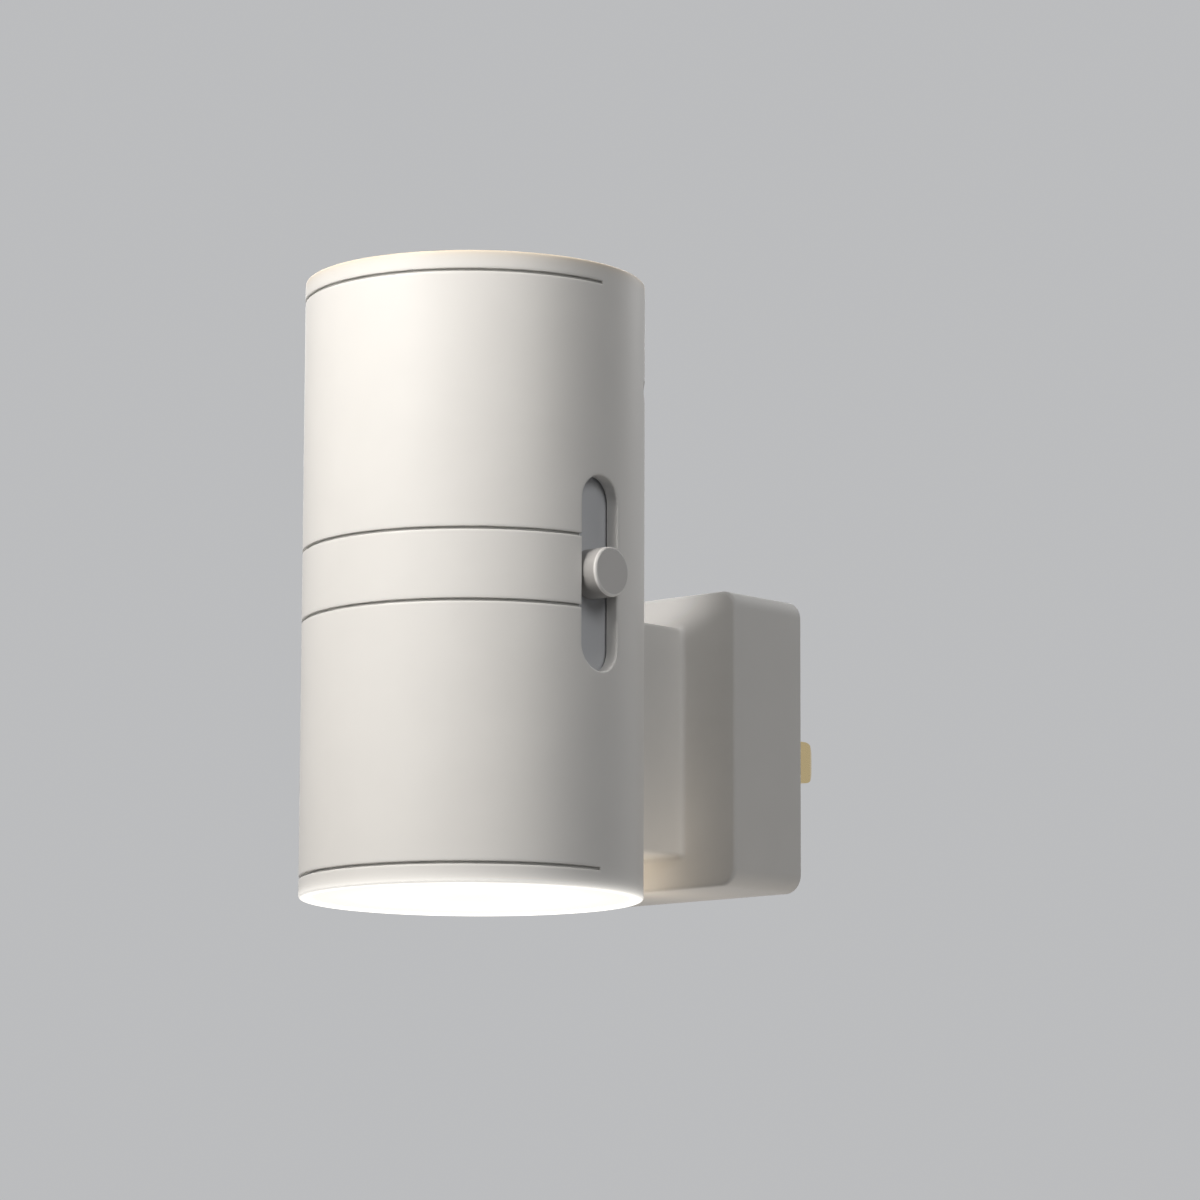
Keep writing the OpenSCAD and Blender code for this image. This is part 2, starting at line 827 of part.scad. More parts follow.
// One blade in its own plane: X is its thickness, Y runs out of the wall side
module blade(w) {
    r = blade_tip_r;
    color(brass) difference() {
        union() {
            along_x(-blade_t / 2, blade_t / 2) {
                translate([driver_back, -w / 2]) square([blade_out - r - driver_back, w]);
                translate([blade_out - 2 * r, r - w / 2]) square([2 * r, w - 2 * r]);
                for (z = [-1, 1]) translate([blade_out - r, z * (w / 2 - r)]) circle(r);
            }
            box([-blade_t / 2, driver_back, -w / 2 - blade_shoulder],
                [blade_t / 2, -plate_t, w / 2 + blade_shoulder]);
        }
        translate([0, blade_out - blade_hole_from_tip, 0]) bar_x(blade_hole_d, -blade_t, blade_t);
        for (x = [0, 1]) mirror([x, 0, 0]) translate([blade_t / 2, blade_out, 0])
            linear_extrude(2 * w, center = true) bevel_loss(blade_bevel_t, blade_bevel_len);
    }
}

module neutral_blade() { translate([-blade_pitch / 2, 0, 0]) blade(neutral_blade_w); }
module line_blade() { translate([blade_pitch / 2, 0, 0]) blade(line_blade_w); }

// ---------------------------------------------------------------- driver

module driver_board() {
    color(board_green) box([-driver_w / 2, driver_front, -driver_h / 2],
        [driver_w / 2, driver_back, driver_h / 2]);
}

// A block that stands on the driver board's front, centred at x, z
module on_driver(size, at) {
    translate([at[0] - size[0] / 2, driver_front - size[1], at[1] - size[2] / 2]) cube(size);
}

module bridge_rectifier() {
    color(chip_black) on_driver(rectifier_size, rectifier_at);
}

module driver_chip() {
    color(chip_black) on_driver(driver_chip_size, driver_chip_at);
}

module smoothing_capacitor() {
    color(cap_blue) translate([capacitor_at[0], driver_front - capacitor_d / 2, capacitor_at[1]])
        cylinder(d = capacitor_d, h = capacitor_len, center = true);
}

module inductor() {
    color(chip_black) translate([inductor_at[0], driver_front, inductor_at[1]]) rotate([90, 0, 0]) {
        cylinder(d = inductor_core_d, h = inductor_h);
        cylinder(d = inductor_d, h = inductor_flange_t);
        translate([0, 0, inductor_h - inductor_flange_t]) cylinder(d = inductor_d, h = inductor_flange_t);
    }
}

module fusible_resistor() {
    mid_y = driver_front - resistor_d / 2;
    color(resistor_tan) translate([0, mid_y, resistor_z]) {
        bar_x(resistor_d, -resistor_len / 2, resistor_len / 2);
        bar_x(resistor_leg_d, -resistor_leg_x, resistor_leg_x);
        for (x = [-1, 1]) {
            translate([x * resistor_leg_x, 0, 0]) sphere(d = resistor_leg_d);
            bar_y(resistor_leg_d, 0, resistor_d / 2, x * resistor_leg_x, 0);
        }
    }
}

// Two leads from the driver board through the neck to the control board
module supply_leads() {
    turn_y = axis_y + supply_turn_y;
    color(lead_red) for (z = [-1, 1]) translate([0, 0, z * supply_lead_z]) {
        bar_y(lead_d, turn_y, driver_front, 0, 0);
        translate([lead_bend_r, turn_y, 0]) rotate([0, 0, 180]) rotate_extrude(angle = 90)
            translate([lead_bend_r, 0]) circle(d = lead_d);
        translate([0, turn_y - lead_bend_r, 0]) bar_x(lead_d, lead_bend_r, control_board_x);
    }
}

// ---------------------------------------------------------------- the part

front_shell();
rear_shell();
upper_lens();
lower_lens();
upper_reflector();
lower_reflector();
upper_leds();
lower_leds();
upper_led_board();
lower_led_board();
chassis();
control_board();
control_chip();
dimmer_body();
dimmer_lever();
slot_shutter();
slide_knob();
sensor_window();
photo_sensor();
led_leads();
supply_leads();
base_housing();
back_plate();
neutral_blade();
line_blade();
driver_board();
bridge_rectifier();
smoothing_capacitor();
inductor();
fusible_resistor();
driver_chip();
shell_screws();
neck_screws();
plate_screws();
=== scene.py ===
"""Looks for a plug-in night light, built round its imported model.

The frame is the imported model's own: the origin is the centre of the plug base's back face,
+Y goes into the wall, +Z is up and +X is to the right of someone who faces the wall. Sizes are
written in millimetres, and pieces are made in metres.
"""

from __future__ import annotations

import logging
import math
from dataclasses import dataclass, field
from enum import Enum
from typing import Callable, Sequence, Union

import bmesh
import bpy
import numpy as np
from mathutils import Matrix, Vector

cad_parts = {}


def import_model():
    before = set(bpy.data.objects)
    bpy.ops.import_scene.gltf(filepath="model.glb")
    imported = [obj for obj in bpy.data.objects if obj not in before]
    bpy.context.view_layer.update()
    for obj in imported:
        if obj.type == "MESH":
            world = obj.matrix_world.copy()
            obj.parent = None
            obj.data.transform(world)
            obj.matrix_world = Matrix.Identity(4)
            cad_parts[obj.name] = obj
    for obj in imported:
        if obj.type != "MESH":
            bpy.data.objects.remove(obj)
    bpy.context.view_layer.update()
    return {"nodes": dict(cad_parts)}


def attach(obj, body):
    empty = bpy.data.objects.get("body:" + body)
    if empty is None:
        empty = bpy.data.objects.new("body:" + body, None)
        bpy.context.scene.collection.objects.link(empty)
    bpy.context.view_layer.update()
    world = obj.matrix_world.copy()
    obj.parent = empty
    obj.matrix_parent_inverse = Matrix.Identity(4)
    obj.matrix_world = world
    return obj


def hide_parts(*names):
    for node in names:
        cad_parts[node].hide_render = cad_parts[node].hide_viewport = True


Pair = tuple[float, float]
Rgb = tuple[float, float, float]

MM = 0.001
MICRON = 0.000001
WELD = 0.5 * MICRON
TUBE_Y, TUBE_Z = -52.4, 19.4
TUBE_RADIUS, TUBE_HALF = 25.0, 45.4
LENS_RADIUS = 23.55
BAR_SIDES = 32
SHARP_DEG = 38.0
QUARTER = np.radians(np.arange(0, 91, 15))
BLACK: Rgb = (0.0, 0.0, 0.0)
WHITE: Rgb = (1.0, 1.0, 1.0)

log = logging.getLogger("night_light")


class Body(Enum):
    """The bodies that pieces ride on."""

    LAMP = "lamp"
    SLIDER = "slider"


class Half(Enum):
    """The two halves of the tube, by the side of the parting plane that they lie on."""

    FRONT = -1
    REAR = 1


class Axis(Enum):
    """A direction that a grain or a pattern runs along."""

    X = 0
    Y = 1
    Z = 2


# ---------------------------------------------------------------- shader maths


def _maths(operation: str, last: bool = False) -> Callable[..., Value]:
    """Makes a method of Value that adds one Math node.

    Args:
        operation: the node's operation.
        last: whether the value is the node's last input and not its first.

    Returns:
        The method, which takes the node's other inputs.
    """

    def method(self: Value, *others: Number) -> Value:
        """Adds the node and takes its result."""
        inputs = (*others, self) if last else (self, *others)
        return self.graph.value("ShaderNodeMath", {"operation": operation}, dict(enumerate(inputs)))

    return method


class Value:
    """A number on its way through a material: arithmetic on it adds Math nodes.

    y.angle(x) is the angle of the point (x, y) round the origin, wave is the cosine, and
    a.above(b) is one where a is above b and zero elsewhere.
    """

    __add__ = __radd__ = _maths("ADD")
    __mul__ = __rmul__ = _maths("MULTIPLY")
    __sub__, __rsub__ = _maths("SUBTRACT"), _maths("SUBTRACT", last=True)
    __truediv__ = _maths("DIVIDE")
    __abs__ = _maths("ABSOLUTE")
    root = _maths("SQRT")
    exp = _maths("EXPONENT")
    wave = _maths("COSINE")
    floor = _maths("FLOOR")
    angle = _maths("ARCTAN2")
    above = _maths("GREATER_THAN")
    most = _maths("MAXIMUM")

    def __init__(self, graph: Graph, socket: bpy.types.NodeSocket) -> None:
        """Keeps the graph and the socket that gives the number."""
        self.graph = graph
        self.socket = socket

    def length(self, *others: Value) -> Value:
        """The length of the line that has this number and the others as its parts."""
        total = self * self
        for other in others:
            total = total + other * other
        return total.root()

    def ramp(self, low: float, high: float, soft: bool = True) -> Value:
        """Runs from zero at low to one at high.

        Args:
            low: where the ramp is zero.
            high: where it is one.
            soft: whether it eases in and out.

        Returns:
            The ramp.
        """
        settings = {"interpolation_type": "SMOOTHSTEP" if soft else "LINEAR"}
        return self.graph.value("ShaderNodeMapRange", settings, {0: self, 1: low, 2: high})


Number = Union[Value, float]


class Graph:
    """The nodes of a material or of the world."""

    def __init__(self, tree: bpy.types.NodeTree) -> None:
        """Empties the node tree."""
        self.tree = tree
        self.tree.nodes.clear()

    def node(self, kind: str, settings: dict | None = None,
             inputs: dict | None = None) -> bpy.types.Node:
        """Adds a node of any kind.

        Args:
            kind: the node's type.
            settings: its own settings, which are set first.
            inputs: the value or link of each socket, by name or number.

        Returns:
            The node.
        """
        node = self.tree.nodes.new(kind)
        for key, setting in (settings or {}).items():
            setattr(node, key, setting)
        for key, given in (inputs or {}).items():
            self.put(node.inputs[key], given)
        return node

    def put(self, socket: bpy.types.NodeSocket, given: object) -> None:
        """Links a value or socket into a socket, or writes a plain value on it."""
        if isinstance(given, Value):
            given = given.socket
        if isinstance(given, bpy.types.NodeSocket):
            self.tree.links.new(given, socket)
        elif isinstance(given, (tuple, list)) and len(given) == 3 and socket.type == "RGBA":
            socket.default_value = (*given, 1.0)
        else:
            socket.default_value = given

    def value(self, kind: str, settings: dict, inputs: dict) -> Value:
        """Adds a node of any kind and takes its first output as a number."""
        return Value(self, self.node(kind, settings, inputs).outputs[0])


class Paint(Graph):
    """A material in the making, with its Principled shader and its nodes."""

    def __init__(self, name: str) -> None:
        """Starts an empty material with one Principled shader."""
        self.material = bpy.data.materials.new(name)
        self.material.use_nodes = True
        super().__init__(self.material.node_tree)
        self.shader = self.node("ShaderNodeBsdfPrincipled")
        self.output = self.node("ShaderNodeOutputMaterial", {}, {0: self.shader.outputs[0]})

    def give(self, inputs: dict[str, object]) -> None:
        """Puts values or links on the shader's sockets, by name."""
        for key, given in inputs.items():
            self.put(self.shader.inputs[key], given)

    def glow(self, colour: object, strength: float) -> None:
        """Makes the surface shine by itself."""
        self.give({"Emission Color": colour, "Emission Strength": strength})

    def place(self) -> bpy.types.NodeSocket:
        """The surface's place in the frame, in metres."""
        return self.node("ShaderNodeTexCoord").outputs["Object"]

    def along(self, centre: Rgb = BLACK) -> tuple[Value, Value, Value]:
        """The place as three numbers, in millimetres from a centre.

        Args:
            centre: the centre, in millimetres.

        Returns:
            The three numbers.
        """
        split = self.node("ShaderNodeSeparateXYZ", {}, {0: self.place()})
        return tuple(Value(self, o) * (1 / MM) - c for o, c in zip(split.outputs, centre))

    def noise(self, size_mm: float, detail: float = 2.0, stretch: Rgb = WHITE) -> Value:
        """Even noise from zero to one.

        Args:
            size_mm: the size of its lumps.
            detail: how many finer layers it has.
            stretch: how many times longer the lumps are along each axis.

        Returns:
            The noise.
        """
        scale = tuple(1 / (size_mm * MM * s) for s in stretch)
        scaled = self.node("ShaderNodeMapping", {}, {"Vector": self.place(), "Scale": scale})
        inputs = {"Vector": scaled.outputs[0], "Scale": 1.0, "Detail": detail}
        return self.value("ShaderNodeTexNoise", {}, inputs)

    def mix(self, share: Number, low: object, high: object) -> bpy.types.NodeSocket:
        """A colour between two colours.

        Args:
            share: zero for the first and one for the second.
            low: the first colour, plain or linked.
            high: the second colour, plain or linked.

        Returns:
            The mixed colour's socket.
        """
        inputs = {0: share, 6: low, 7: high}
        return self.node("ShaderNodeMix", {"data_type": "RGBA"}, inputs).outputs[2]

    def bump(self, height: Value, relief_um: float) -> None:
        """Raises the surface by the height, from zero to one, times the relief."""
        inputs = {"Height": height, "Distance": relief_um * MICRON, "Strength": 1.0}
        self.give({"Normal": self.node("ShaderNodeBump", {}, inputs).outputs[0]})


# ---------------------------------------------------------------- finishes


def dimmed(colour: Rgb, share: float) -> Rgb:
    """The colour times the share."""
    return tuple(c * share for c in colour)


@dataclass(frozen=True)
class Finish:
    """A moulded surface: its colour wanders slowly and its fine grain has a little relief."""

    name: str
    colour: Rgb
    roughness: float
    grain_mm: float = 0.25
    grain_layers: float = 3.0
    relief_um: float = 1.5
    drift: float = 0.03
    drift_mm: float = 9.0
    gloss_swing: float = 0.08
    metallic: float = 0.0
    coat: float = 0.0
    specular: float = 0.5

    def material(self) -> bpy.types.Material:
        """Mixes the material.

        Returns:
            The material, ready for an object's slot.
        """
        paint = Paint(self.name)
        grain = self.grain(paint)
        paint.give({"Metallic": self.metallic, "Coat Weight": self.coat,
                    "Specular IOR Level": self.specular, "Base Color": self.tone(paint),
                    "Roughness": self.gloss(paint, grain)})
        paint.bump(grain, self.relief_um)
        self.extras(paint)
        return paint.material

    def grain(self, paint: Paint) -> Value:
        """The surface's fine height, from zero to one."""
        return paint.noise(self.grain_mm, self.grain_layers)

    def gloss(self, paint: Paint, grain: Value) -> Value:
        """The roughness: a little more on the grain's high spots."""
        return grain * self.gloss_swing + (self.roughness - self.gloss_swing / 2)

    def tone(self, paint: Paint) -> bpy.types.NodeSocket:
        """The colour, drifting slowly from a shade darker to a shade lighter."""
        dark, light = (dimmed(self.colour, k) for k in (1 - self.drift, 1 + self.drift))
        return paint.mix(paint.noise(self.drift_mm), dark, light)

    def extras(self, paint: Paint) -> None:
        """What a finish adds beyond colour, gloss and grain. A plain finish adds nothing."""


@dataclass(frozen=True)
class ShellPlastic(Finish):
    """The tube's moulding: painted shade on the trim grooves' floors, and painted lens light that
    glows at both rims.
    """

    groove_ends: tuple[Pair, ...] = ((5.15, -4.0), (42.5, 0.0))
    groove_reach: float = 0.3
    groove_depths: Pair = (0.06, 0.4)
    groove_painted_shade: float = 0.6
    painted_top_warmth: Rgb = (0.75, 0.64, 0.49)
    painted_top_warmth_reach: float = 0.6
    lower_glow: Rgb = (1.0, 0.97, 0.91)
    upper_glow: Rgb = (0.12, 0.06, 0.02)
    lower_reach: float = 0.62
    upper_reach: float = 0.2
    fall_off: float = 0.7
    glow_strength: float = 1.9

    def tone(self, paint: Paint) -> bpy.types.NodeSocket:
        """Paints shade on the floors of the grooves and paints warm lens light on the upper rim.
        Each pair of grooves is named by its height and by the y at which it ends on the right; on
        the left all of them end at the parting plane."""
        x, y, z = paint.along((0.0, TUBE_Y, TUBE_Z))
        inside: Number = 0.0
        for height, end in self.groove_ends:
            beside = 1 - abs(abs(z) - height).above(self.groove_reach)
            inside = beside * (1 - y.above(end) * x.above(0.0)) + inside
        depth = TUBE_RADIUS - x.length(y)
        # Painted shade: the grooves' floors are darkened where shade falls in them.
        floor = inside * (1 - y.above(0.0)) * depth.ramp(*self.groove_depths)
        # Painted light: warm lens light is painted into the colour near the upper rim.
        near_top = ((z - TUBE_HALF) / self.painted_top_warmth_reach).exp()
        warm = paint.mix(near_top, super().tone(paint), self.painted_top_warmth)
        return paint.mix(floor, warm, dimmed(self.colour, self.groove_painted_shade))

    def extras(self, paint: Paint) -> None:
        """Adds a painted glow of lens light on the rims, which fades by the same share with each
        step away from a lens's edge: widely at the lower rim and only along the edge at the upper
        one."""
        x, y, z = paint.along((0.0, TUBE_Y, TUBE_Z))
        across = (x.length(y) - LENS_RADIUS) * self.fall_off
        # Painted light: the shell glows at both rims as emission, standing in for the lenses'
        # light.
        painted_rim_glow = BLACK
        for end, reach, glow in ((TUBE_HALF + z, self.lower_reach, self.lower_glow),
                                 (TUBE_HALF - z, self.upper_reach, self.upper_glow)):
            painted_rim_glow = paint.mix((0.0 - across - end / reach).exp(), painted_rim_glow, glow)
        paint.glow(painted_rim_glow, self.glow_strength)


@dataclass(frozen=True)
class GlowPaintedPlastic(Finish):
    """The base's moulding, with light painted on as glow: warm light of the lower lens on what is
    nearest to it, and pale light that gets past the tube on the top of the base's front."""

    warm_centre: Rgb = (0.0, -22.0, -24.0)
    warm_reach: float = 8.0
    warm_narrowing: float = 1.7
    warm: Rgb = (0.8, 0.656, 0.48)
    pale_centre: Rgb = (1.0, -15.5, 21.8)
    pale_fade: Pair = (18.0, 5.0)
    pale_flattening: float = 2.4
    pale_depth: Pair = (0.3, 1.2)
    pale: Rgb = (0.36, 0.345, 0.33)

    def extras(self, paint: Paint) -> None:
        """Adds both painted lights as glow. The warm one fades by the same share with each step
        from its centre, and faster sideways, where the neck shades the front. The pale one lies on
        the front face only, along its top, and is even but for a soft edge."""
        # Painted light: a warm glow near the lower lens, painted as emission.
        x, y, z = paint.along(self.warm_centre)
        near = ((x * self.warm_narrowing).length(y, z) / -self.warm_reach).exp()
        # Painted light: a pale patch of light on the top of the front face, painted as emission.
        x, y, z = paint.along(self.pale_centre)
        lit = x.length(z * self.pale_flattening).ramp(*self.pale_fade)
        lit = lit * (1 - abs(y).ramp(*self.pale_depth))
        paint.glow(paint.mix(lit, paint.mix(near, BLACK, self.warm), self.pale), 1.0)


@dataclass(frozen=True)
class KnobLightPaintedPlastic(Finish):
    """A round knob with painted light and shade: its side is darkened as painted shade, and its rim
    carries a painted highlight, brightest below."""

    radius: float = 3.6
    outer_edge: Pair = (3.17, 3.32)
    side_edge: Pair = (26.47, 26.77)
    rim_edge: Pair = (26.62, 26.77)
    rim_share: float = 0.9
    side_painted_shade: float = 0.54
    rim_highlight_above: Rgb = (0.46, 0.45, 0.44)
    rim_highlight_below: Rgb = (0.98, 0.97, 0.95)

    def tone(self, paint: Paint) -> bpy.types.NodeSocket:
        """The plain colour on the face, with painted shade down the side and a painted highlight
        round the rim.
        """
        x, y, z = paint.along((0.0, TUBE_Y, TUBE_Z))
        outer = y.length(z).ramp(*self.outer_edge)
        side = outer * (1 - x.ramp(*self.side_edge))
        rim = outer * x.ramp(*self.rim_edge)
        # Painted highlight: the rim is painted bright, brighter towards the bottom.
        lowness = z.ramp(self.radius, -self.radius, soft=False)
        rim_highlight = paint.mix(lowness, self.rim_highlight_above, self.rim_highlight_below)
        # Painted shade: the side is darkened where the tube shades it.
        side_shaded = paint.mix(side, super().tone(paint), dimmed(self.colour, self.side_painted_shade))
        return paint.mix(rim * self.rim_share, side_shaded, rim_highlight)


@dataclass(frozen=True)
class Diffuser(Finish):
    """The frosted lens, lit from behind by a ring of lights that show as soft spots."""

    light_count: int = 8
    ring_radius: float = 12.0
    spot_radius: float = 4.6
    spot_narrowing: float = 0.45
    spot_share: float = 0.22
    edge: Pair = (17.4, 23.4)
    edge_loss: float = 0.05
    light: Rgb = (1.0, 0.965, 0.9)
    strength: float = 1.0

    def extras(self, paint: Paint) -> None:
        """Adds the light: brighter over each light of the ring and dimmer at the edge.

        A spot fades with the square of the way off the ring, and along it with a cosine that
        has one wave for each light.
        """
        x, y, _ = paint.along((0.0, TUBE_Y, 0.0))
        radius = x.length(y)
        off_ring = (radius - self.ring_radius) / self.spot_radius
        between = 1 - (y.angle(x) * float(self.light_count)).wave()
        spots = (0.0 - off_ring * off_ring - between * self.spot_narrowing).exp()
        level = spots * self.spot_share + (1 - self.spot_share)
        level = level - radius.ramp(*self.edge) * self.edge_loss
        paint.glow(paint.mix(level, BLACK, self.light), self.strength)


@dataclass(frozen=True)
class Phosphor(Finish):
    """Yellow phosphor that shines through its own speckle."""

    speckle_mm: float = 0.3
    thin: Rgb = (0.9, 0.62, 0.25)
    thick: Rgb = (1.0, 0.85, 0.5)
    strength: float = 2.0

    def extras(self, paint: Paint) -> None:
        """Adds the light, a little brighter where the phosphor is thick."""
        paint.glow(paint.mix(paint.noise(self.speckle_mm), self.thin, self.thick), self.strength)


@dataclass(frozen=True)
class DrawnMetal(Finish):
    """Metal with fine lines along the way it was drawn, rolled or brushed."""

    along: Axis = Axis.Y
    line_stretch: float = 30.0
    line_gloss: float = 0.18
    stain_gloss: float = 0.12
    stain_mm: float = 4.0

    def grain(self, paint: Paint) -> Value:
        """Noise pulled out into lines."""
        stretch = tuple(self.line_stretch if axis is self.along else 1.0 for axis in Axis)
        return paint.noise(self.grain_mm, self.grain_layers, stretch)

    def gloss(self, paint: Paint, grain: Value) -> Value:
        """The roughness: lines and slow stains."""
        least = self.roughness - (self.line_gloss + self.stain_gloss) / 2
        return grain * self.line_gloss + paint.noise(self.stain_mm) * self.stain_gloss + least


@dataclass(frozen=True)
class SolderMask(Finish):
    """A coated circuit board: tracks show as paler lines, pads as bare metal dots."""

    track: Rgb = (0.12, 0.42, 0.24)
    pad: Rgb = (0.78, 0.72, 0.6)
    pitch_mm: float = 1.27
    block: float = 6.0
    plane: tuple[Axis, Axis] = (Axis.X, Axis.Z)
    turned_share: float = 0.5
    track_share: float = 0.6
    pad_share: float = 0.09
    track_edge: Pair = (0.12, 0.17)
    pad_edge: Pair = (0.3, 0.34)
    row_draw: float = 200.0
    block_draws: Pair = (7.0, 53.0)

    def _kept(self, paint: Paint, across: Value, up: Value, share: float) -> Value:
        """One for the share of whole numbers (across, up) that a fixed draw keeps."""
        spot = paint.node("ShaderNodeCombineXYZ", {}, {0: across, 1: up}).outputs[0]
        return paint.value("ShaderNodeTexWhiteNoise", {}, {"Vector": spot}).above(1 - share)

    def tone(self, paint: Paint) -> bpy.types.NodeSocket:
        """Lays tracks and pads on a square pitch over the board's own plane.

        The board is cut into square blocks of cells. All tracks of a block run the same way,
        through the middles of their cells, and each is there for the block's whole length or
        not at all. Some cells have a pad at the middle.
        """
        place = paint.along()
        u, v = (place[axis.value] * (1 / self.pitch_mm) for axis in self.plane)
        column, row = u.floor(), v.floor()
        block_u, block_v = ((way * (1 / self.block)).floor() for way in (u, v))
        beside, above = abs(u - column - 0.5), abs(v - row - 0.5)
        level = self._kept(paint, block_u, block_v, self.turned_share)
        off = above * level + beside * (1 - level)
        track = (row + self.row_draw) * level + column * (1 - level)
        draw = block_u * self.block_draws[0] + block_v * self.block_draws[1]
        lines = self._kept(paint, track, draw, self.track_share) * (1 - off.ramp(*self.track_edge))
        dots = 1 - beside.length(above).ramp(*self.pad_edge)
        pads = self._kept(paint, column, row, self.pad_share) * dots
        return paint.mix(pads, paint.mix(lines, super().tone(paint), self.track), self.pad)


@dataclass(frozen=True)
class WoundCoil(Finish):
    """Dark ferrite flanges with copper wire wound between them."""

    centre: Rgb = (-9.5, -9.6, -5.0)
    wire: Rgb = (0.62, 0.27, 0.12)
    wire_pitch: float = 0.4
    half_winding: float = 1.9
    flange_core: float = 2.05

    def _windings(self, paint: Paint) -> Value:
        """One on the wire and zero on the flanges."""
        x, y, z = paint.along(self.centre)
        return (1 - x.length(z).above(self.flange_core)) * (1 - abs(y).above(self.half_winding))

    def grain(self, paint: Paint) -> Value:
        """Rounded turns of wire."""
        _, y, _ = paint.along(self.centre)
        turns = (y * (2 * math.pi / self.wire_pitch)).wave() * 0.5 + 0.5
        return turns * self._windings(paint)

    def tone(self, paint: Paint) -> bpy.types.NodeSocket:
        """Copper on the windings and dark ferrite elsewhere."""
        return paint.mix(self._windings(paint), super().tone(paint), self.wire)


@dataclass(frozen=True)
class BandedCoat(Finish):
    """A dipped resistor: a tan coat with rings of colour, and bare tinned legs."""

    centre: Rgb = (0.0, -7.9, 9.5)
    bands: tuple[tuple[float, Rgb], ...] = (
        (-2.2, (0.35, 0.16, 0.06)), (-1.1, (0.02, 0.02, 0.02)),
        (0.0, (0.35, 0.16, 0.06)), (2.0, (0.5, 0.36, 0.08)))
    band_edge: Pair = (0.24, 0.3)
    leg_radius: float = 0.7
    leg: Rgb = (0.7, 0.7, 0.68)

    def tone(self, paint: Paint) -> bpy.types.NodeSocket:
        """Lays the rings over the coat, and metal over the legs."""
        x, y, z = paint.along(self.centre)
        colour = super().tone(paint)
        for at, ring in self.bands:
            colour = paint.mix(1 - abs(x - at).ramp(*self.band_edge), colour, ring)
        return paint.mix(y.length(z).above(self.leg_radius), self.leg, colour)


@dataclass(frozen=True)
class SleevedCan(Finish):
    """A capacitor: a shrunk sleeve with one pale stripe, and a bare metal top."""

    centre: Rgb = (9.2, -9.75, 0.0)
    top_z: float = 5.45
    top_radius: float = 2.75
    top: Rgb = (0.72, 0.73, 0.74)
    stripe_edge: Pair = (0.3, 0.34)
    stripe: Rgb = (0.6, 0.64, 0.7)

    def tone(self, paint: Paint) -> bpy.types.NodeSocket:
        """Sleeve, stripe and top."""
        x, y, z = paint.along(self.centre)
        facing = y.angle(x) + math.pi / 2
        striped = 1 - abs(facing).ramp(*self.stripe_edge)
        sleeve = paint.mix(striped, super().tone(paint), self.stripe)
        bare = abs(z).above(self.top_z) * (1 - x.length(y).above(self.top_radius))
        return paint.mix(bare, sleeve, self.top)


# ---------------------------------------------------------------- mesh making


def grid_quads(rows: int, columns: int, wrap: tuple[bool, bool]) -> np.ndarray:
    """The quads between neighbours in a grid of points that are numbered row by row.

    Args:
        rows: how many rows of points there are.
        columns: how many points each row has.
        wrap: whether the last row joins the first, and the last column the first.

    Returns:
        The quads, as rows by columns by four.
    """
    index = np.arange(rows * columns).reshape(rows, columns)
    index = np.vstack([index, index[:1]]) if wrap[0] else index
    index = np.hstack([index, index[:, :1]]) if wrap[1] else index
    return np.stack((index[:-1, :-1], index[1:, :-1], index[1:, 1:], index[:-1, 1:]), -1)


def circle(count: int, radius: float = 1.0, centre: Pair = (0.0, 0.0)) -> np.ndarray:
    """Points round a circle, as many as the count."""
    turn = np.linspace(0, 2 * math.pi, count + 1)[:-1]
    return np.column_stack([np.cos(turn), np.sin(turn)]) * radius + centre


def at_depth(flat: np.ndarray, depth: float | Callable[[np.ndarray], np.ndarray]) -> np.ndarray:
    """Stands an outline of x and z at a depth.

    Args:
        flat: the outline's points.
        depth: their place along y, or a function of x that gives it.

    Returns:
        The points.
    """
    y = depth(flat[:, 0]) if callable(depth) else np.full(len(flat), depth)
    return np.column_stack([flat[:, 0], y, flat[:, 1]])


def steps(*stops: float, most: float) -> np.ndarray:
    """Even steps between stops.

    Args:
        stops: values that are hit exactly, in order.
        most: the longest step.

    Returns:
        The values, from the first stop to the last.
    """
    parts = [np.linspace(a, b, max(2, math.ceil(abs(b - a) / most) + 1))[:-1]
             for a, b in zip(stops, stops[1:])]
    return np.concatenate([*parts, [stops[-1]]])


def blended(start: np.ndarray, end: np.ndarray, count: int) -> list[np.ndarray]:
    """The outlines that lead from one to another in even steps.

    Args:
        start: the first outline, which is left out.
        end: the last outline.
        count: how many steps there are.

    Returns:
        The outlines after the first.
    """
    return [start + (end - start) * s for s in np.linspace(0, 1, count + 1)[1:]]


def rounded_outline(width: float, height: float, radius: float) -> np.ndarray:
    """Points round a rectangle with round corners, always as many and in the same order.

    Each corner is a quarter circle about a centre one radius inside both sides. Each side is
    straight from one quarter circle's end to the next one's start.

    Args:
        width: the whole width, along x.
        height: the whole height, along z.
        radius: the corner radius.

    Returns:
        The points, as x and z.
    """
    corner_steps, side_steps = 10, (14, 8)
    turn = np.linspace(0, math.pi / 2, corner_steps + 1)
    signs = ((1, 1), (-1, 1), (-1, -1), (1, -1))
    arcs = [
        np.stack([sx * (width / 2 - radius) + radius * np.cos(turn + k * math.pi / 2),
                  sz * (height / 2 - radius) + radius * np.sin(turn + k * math.pi / 2)], 1)
        for k, (sx, sz) in enumerate(signs)
    ]
    rows = []
    for k, arc in enumerate(arcs):
        share = np.linspace(0, 1, side_steps[k % 2] + 1)[1:-1, None]
        rows += [arc, arc[-1] + (arcs[(k + 1) % 4][0] - arc[-1]) * share]
    return np.concatenate(rows)


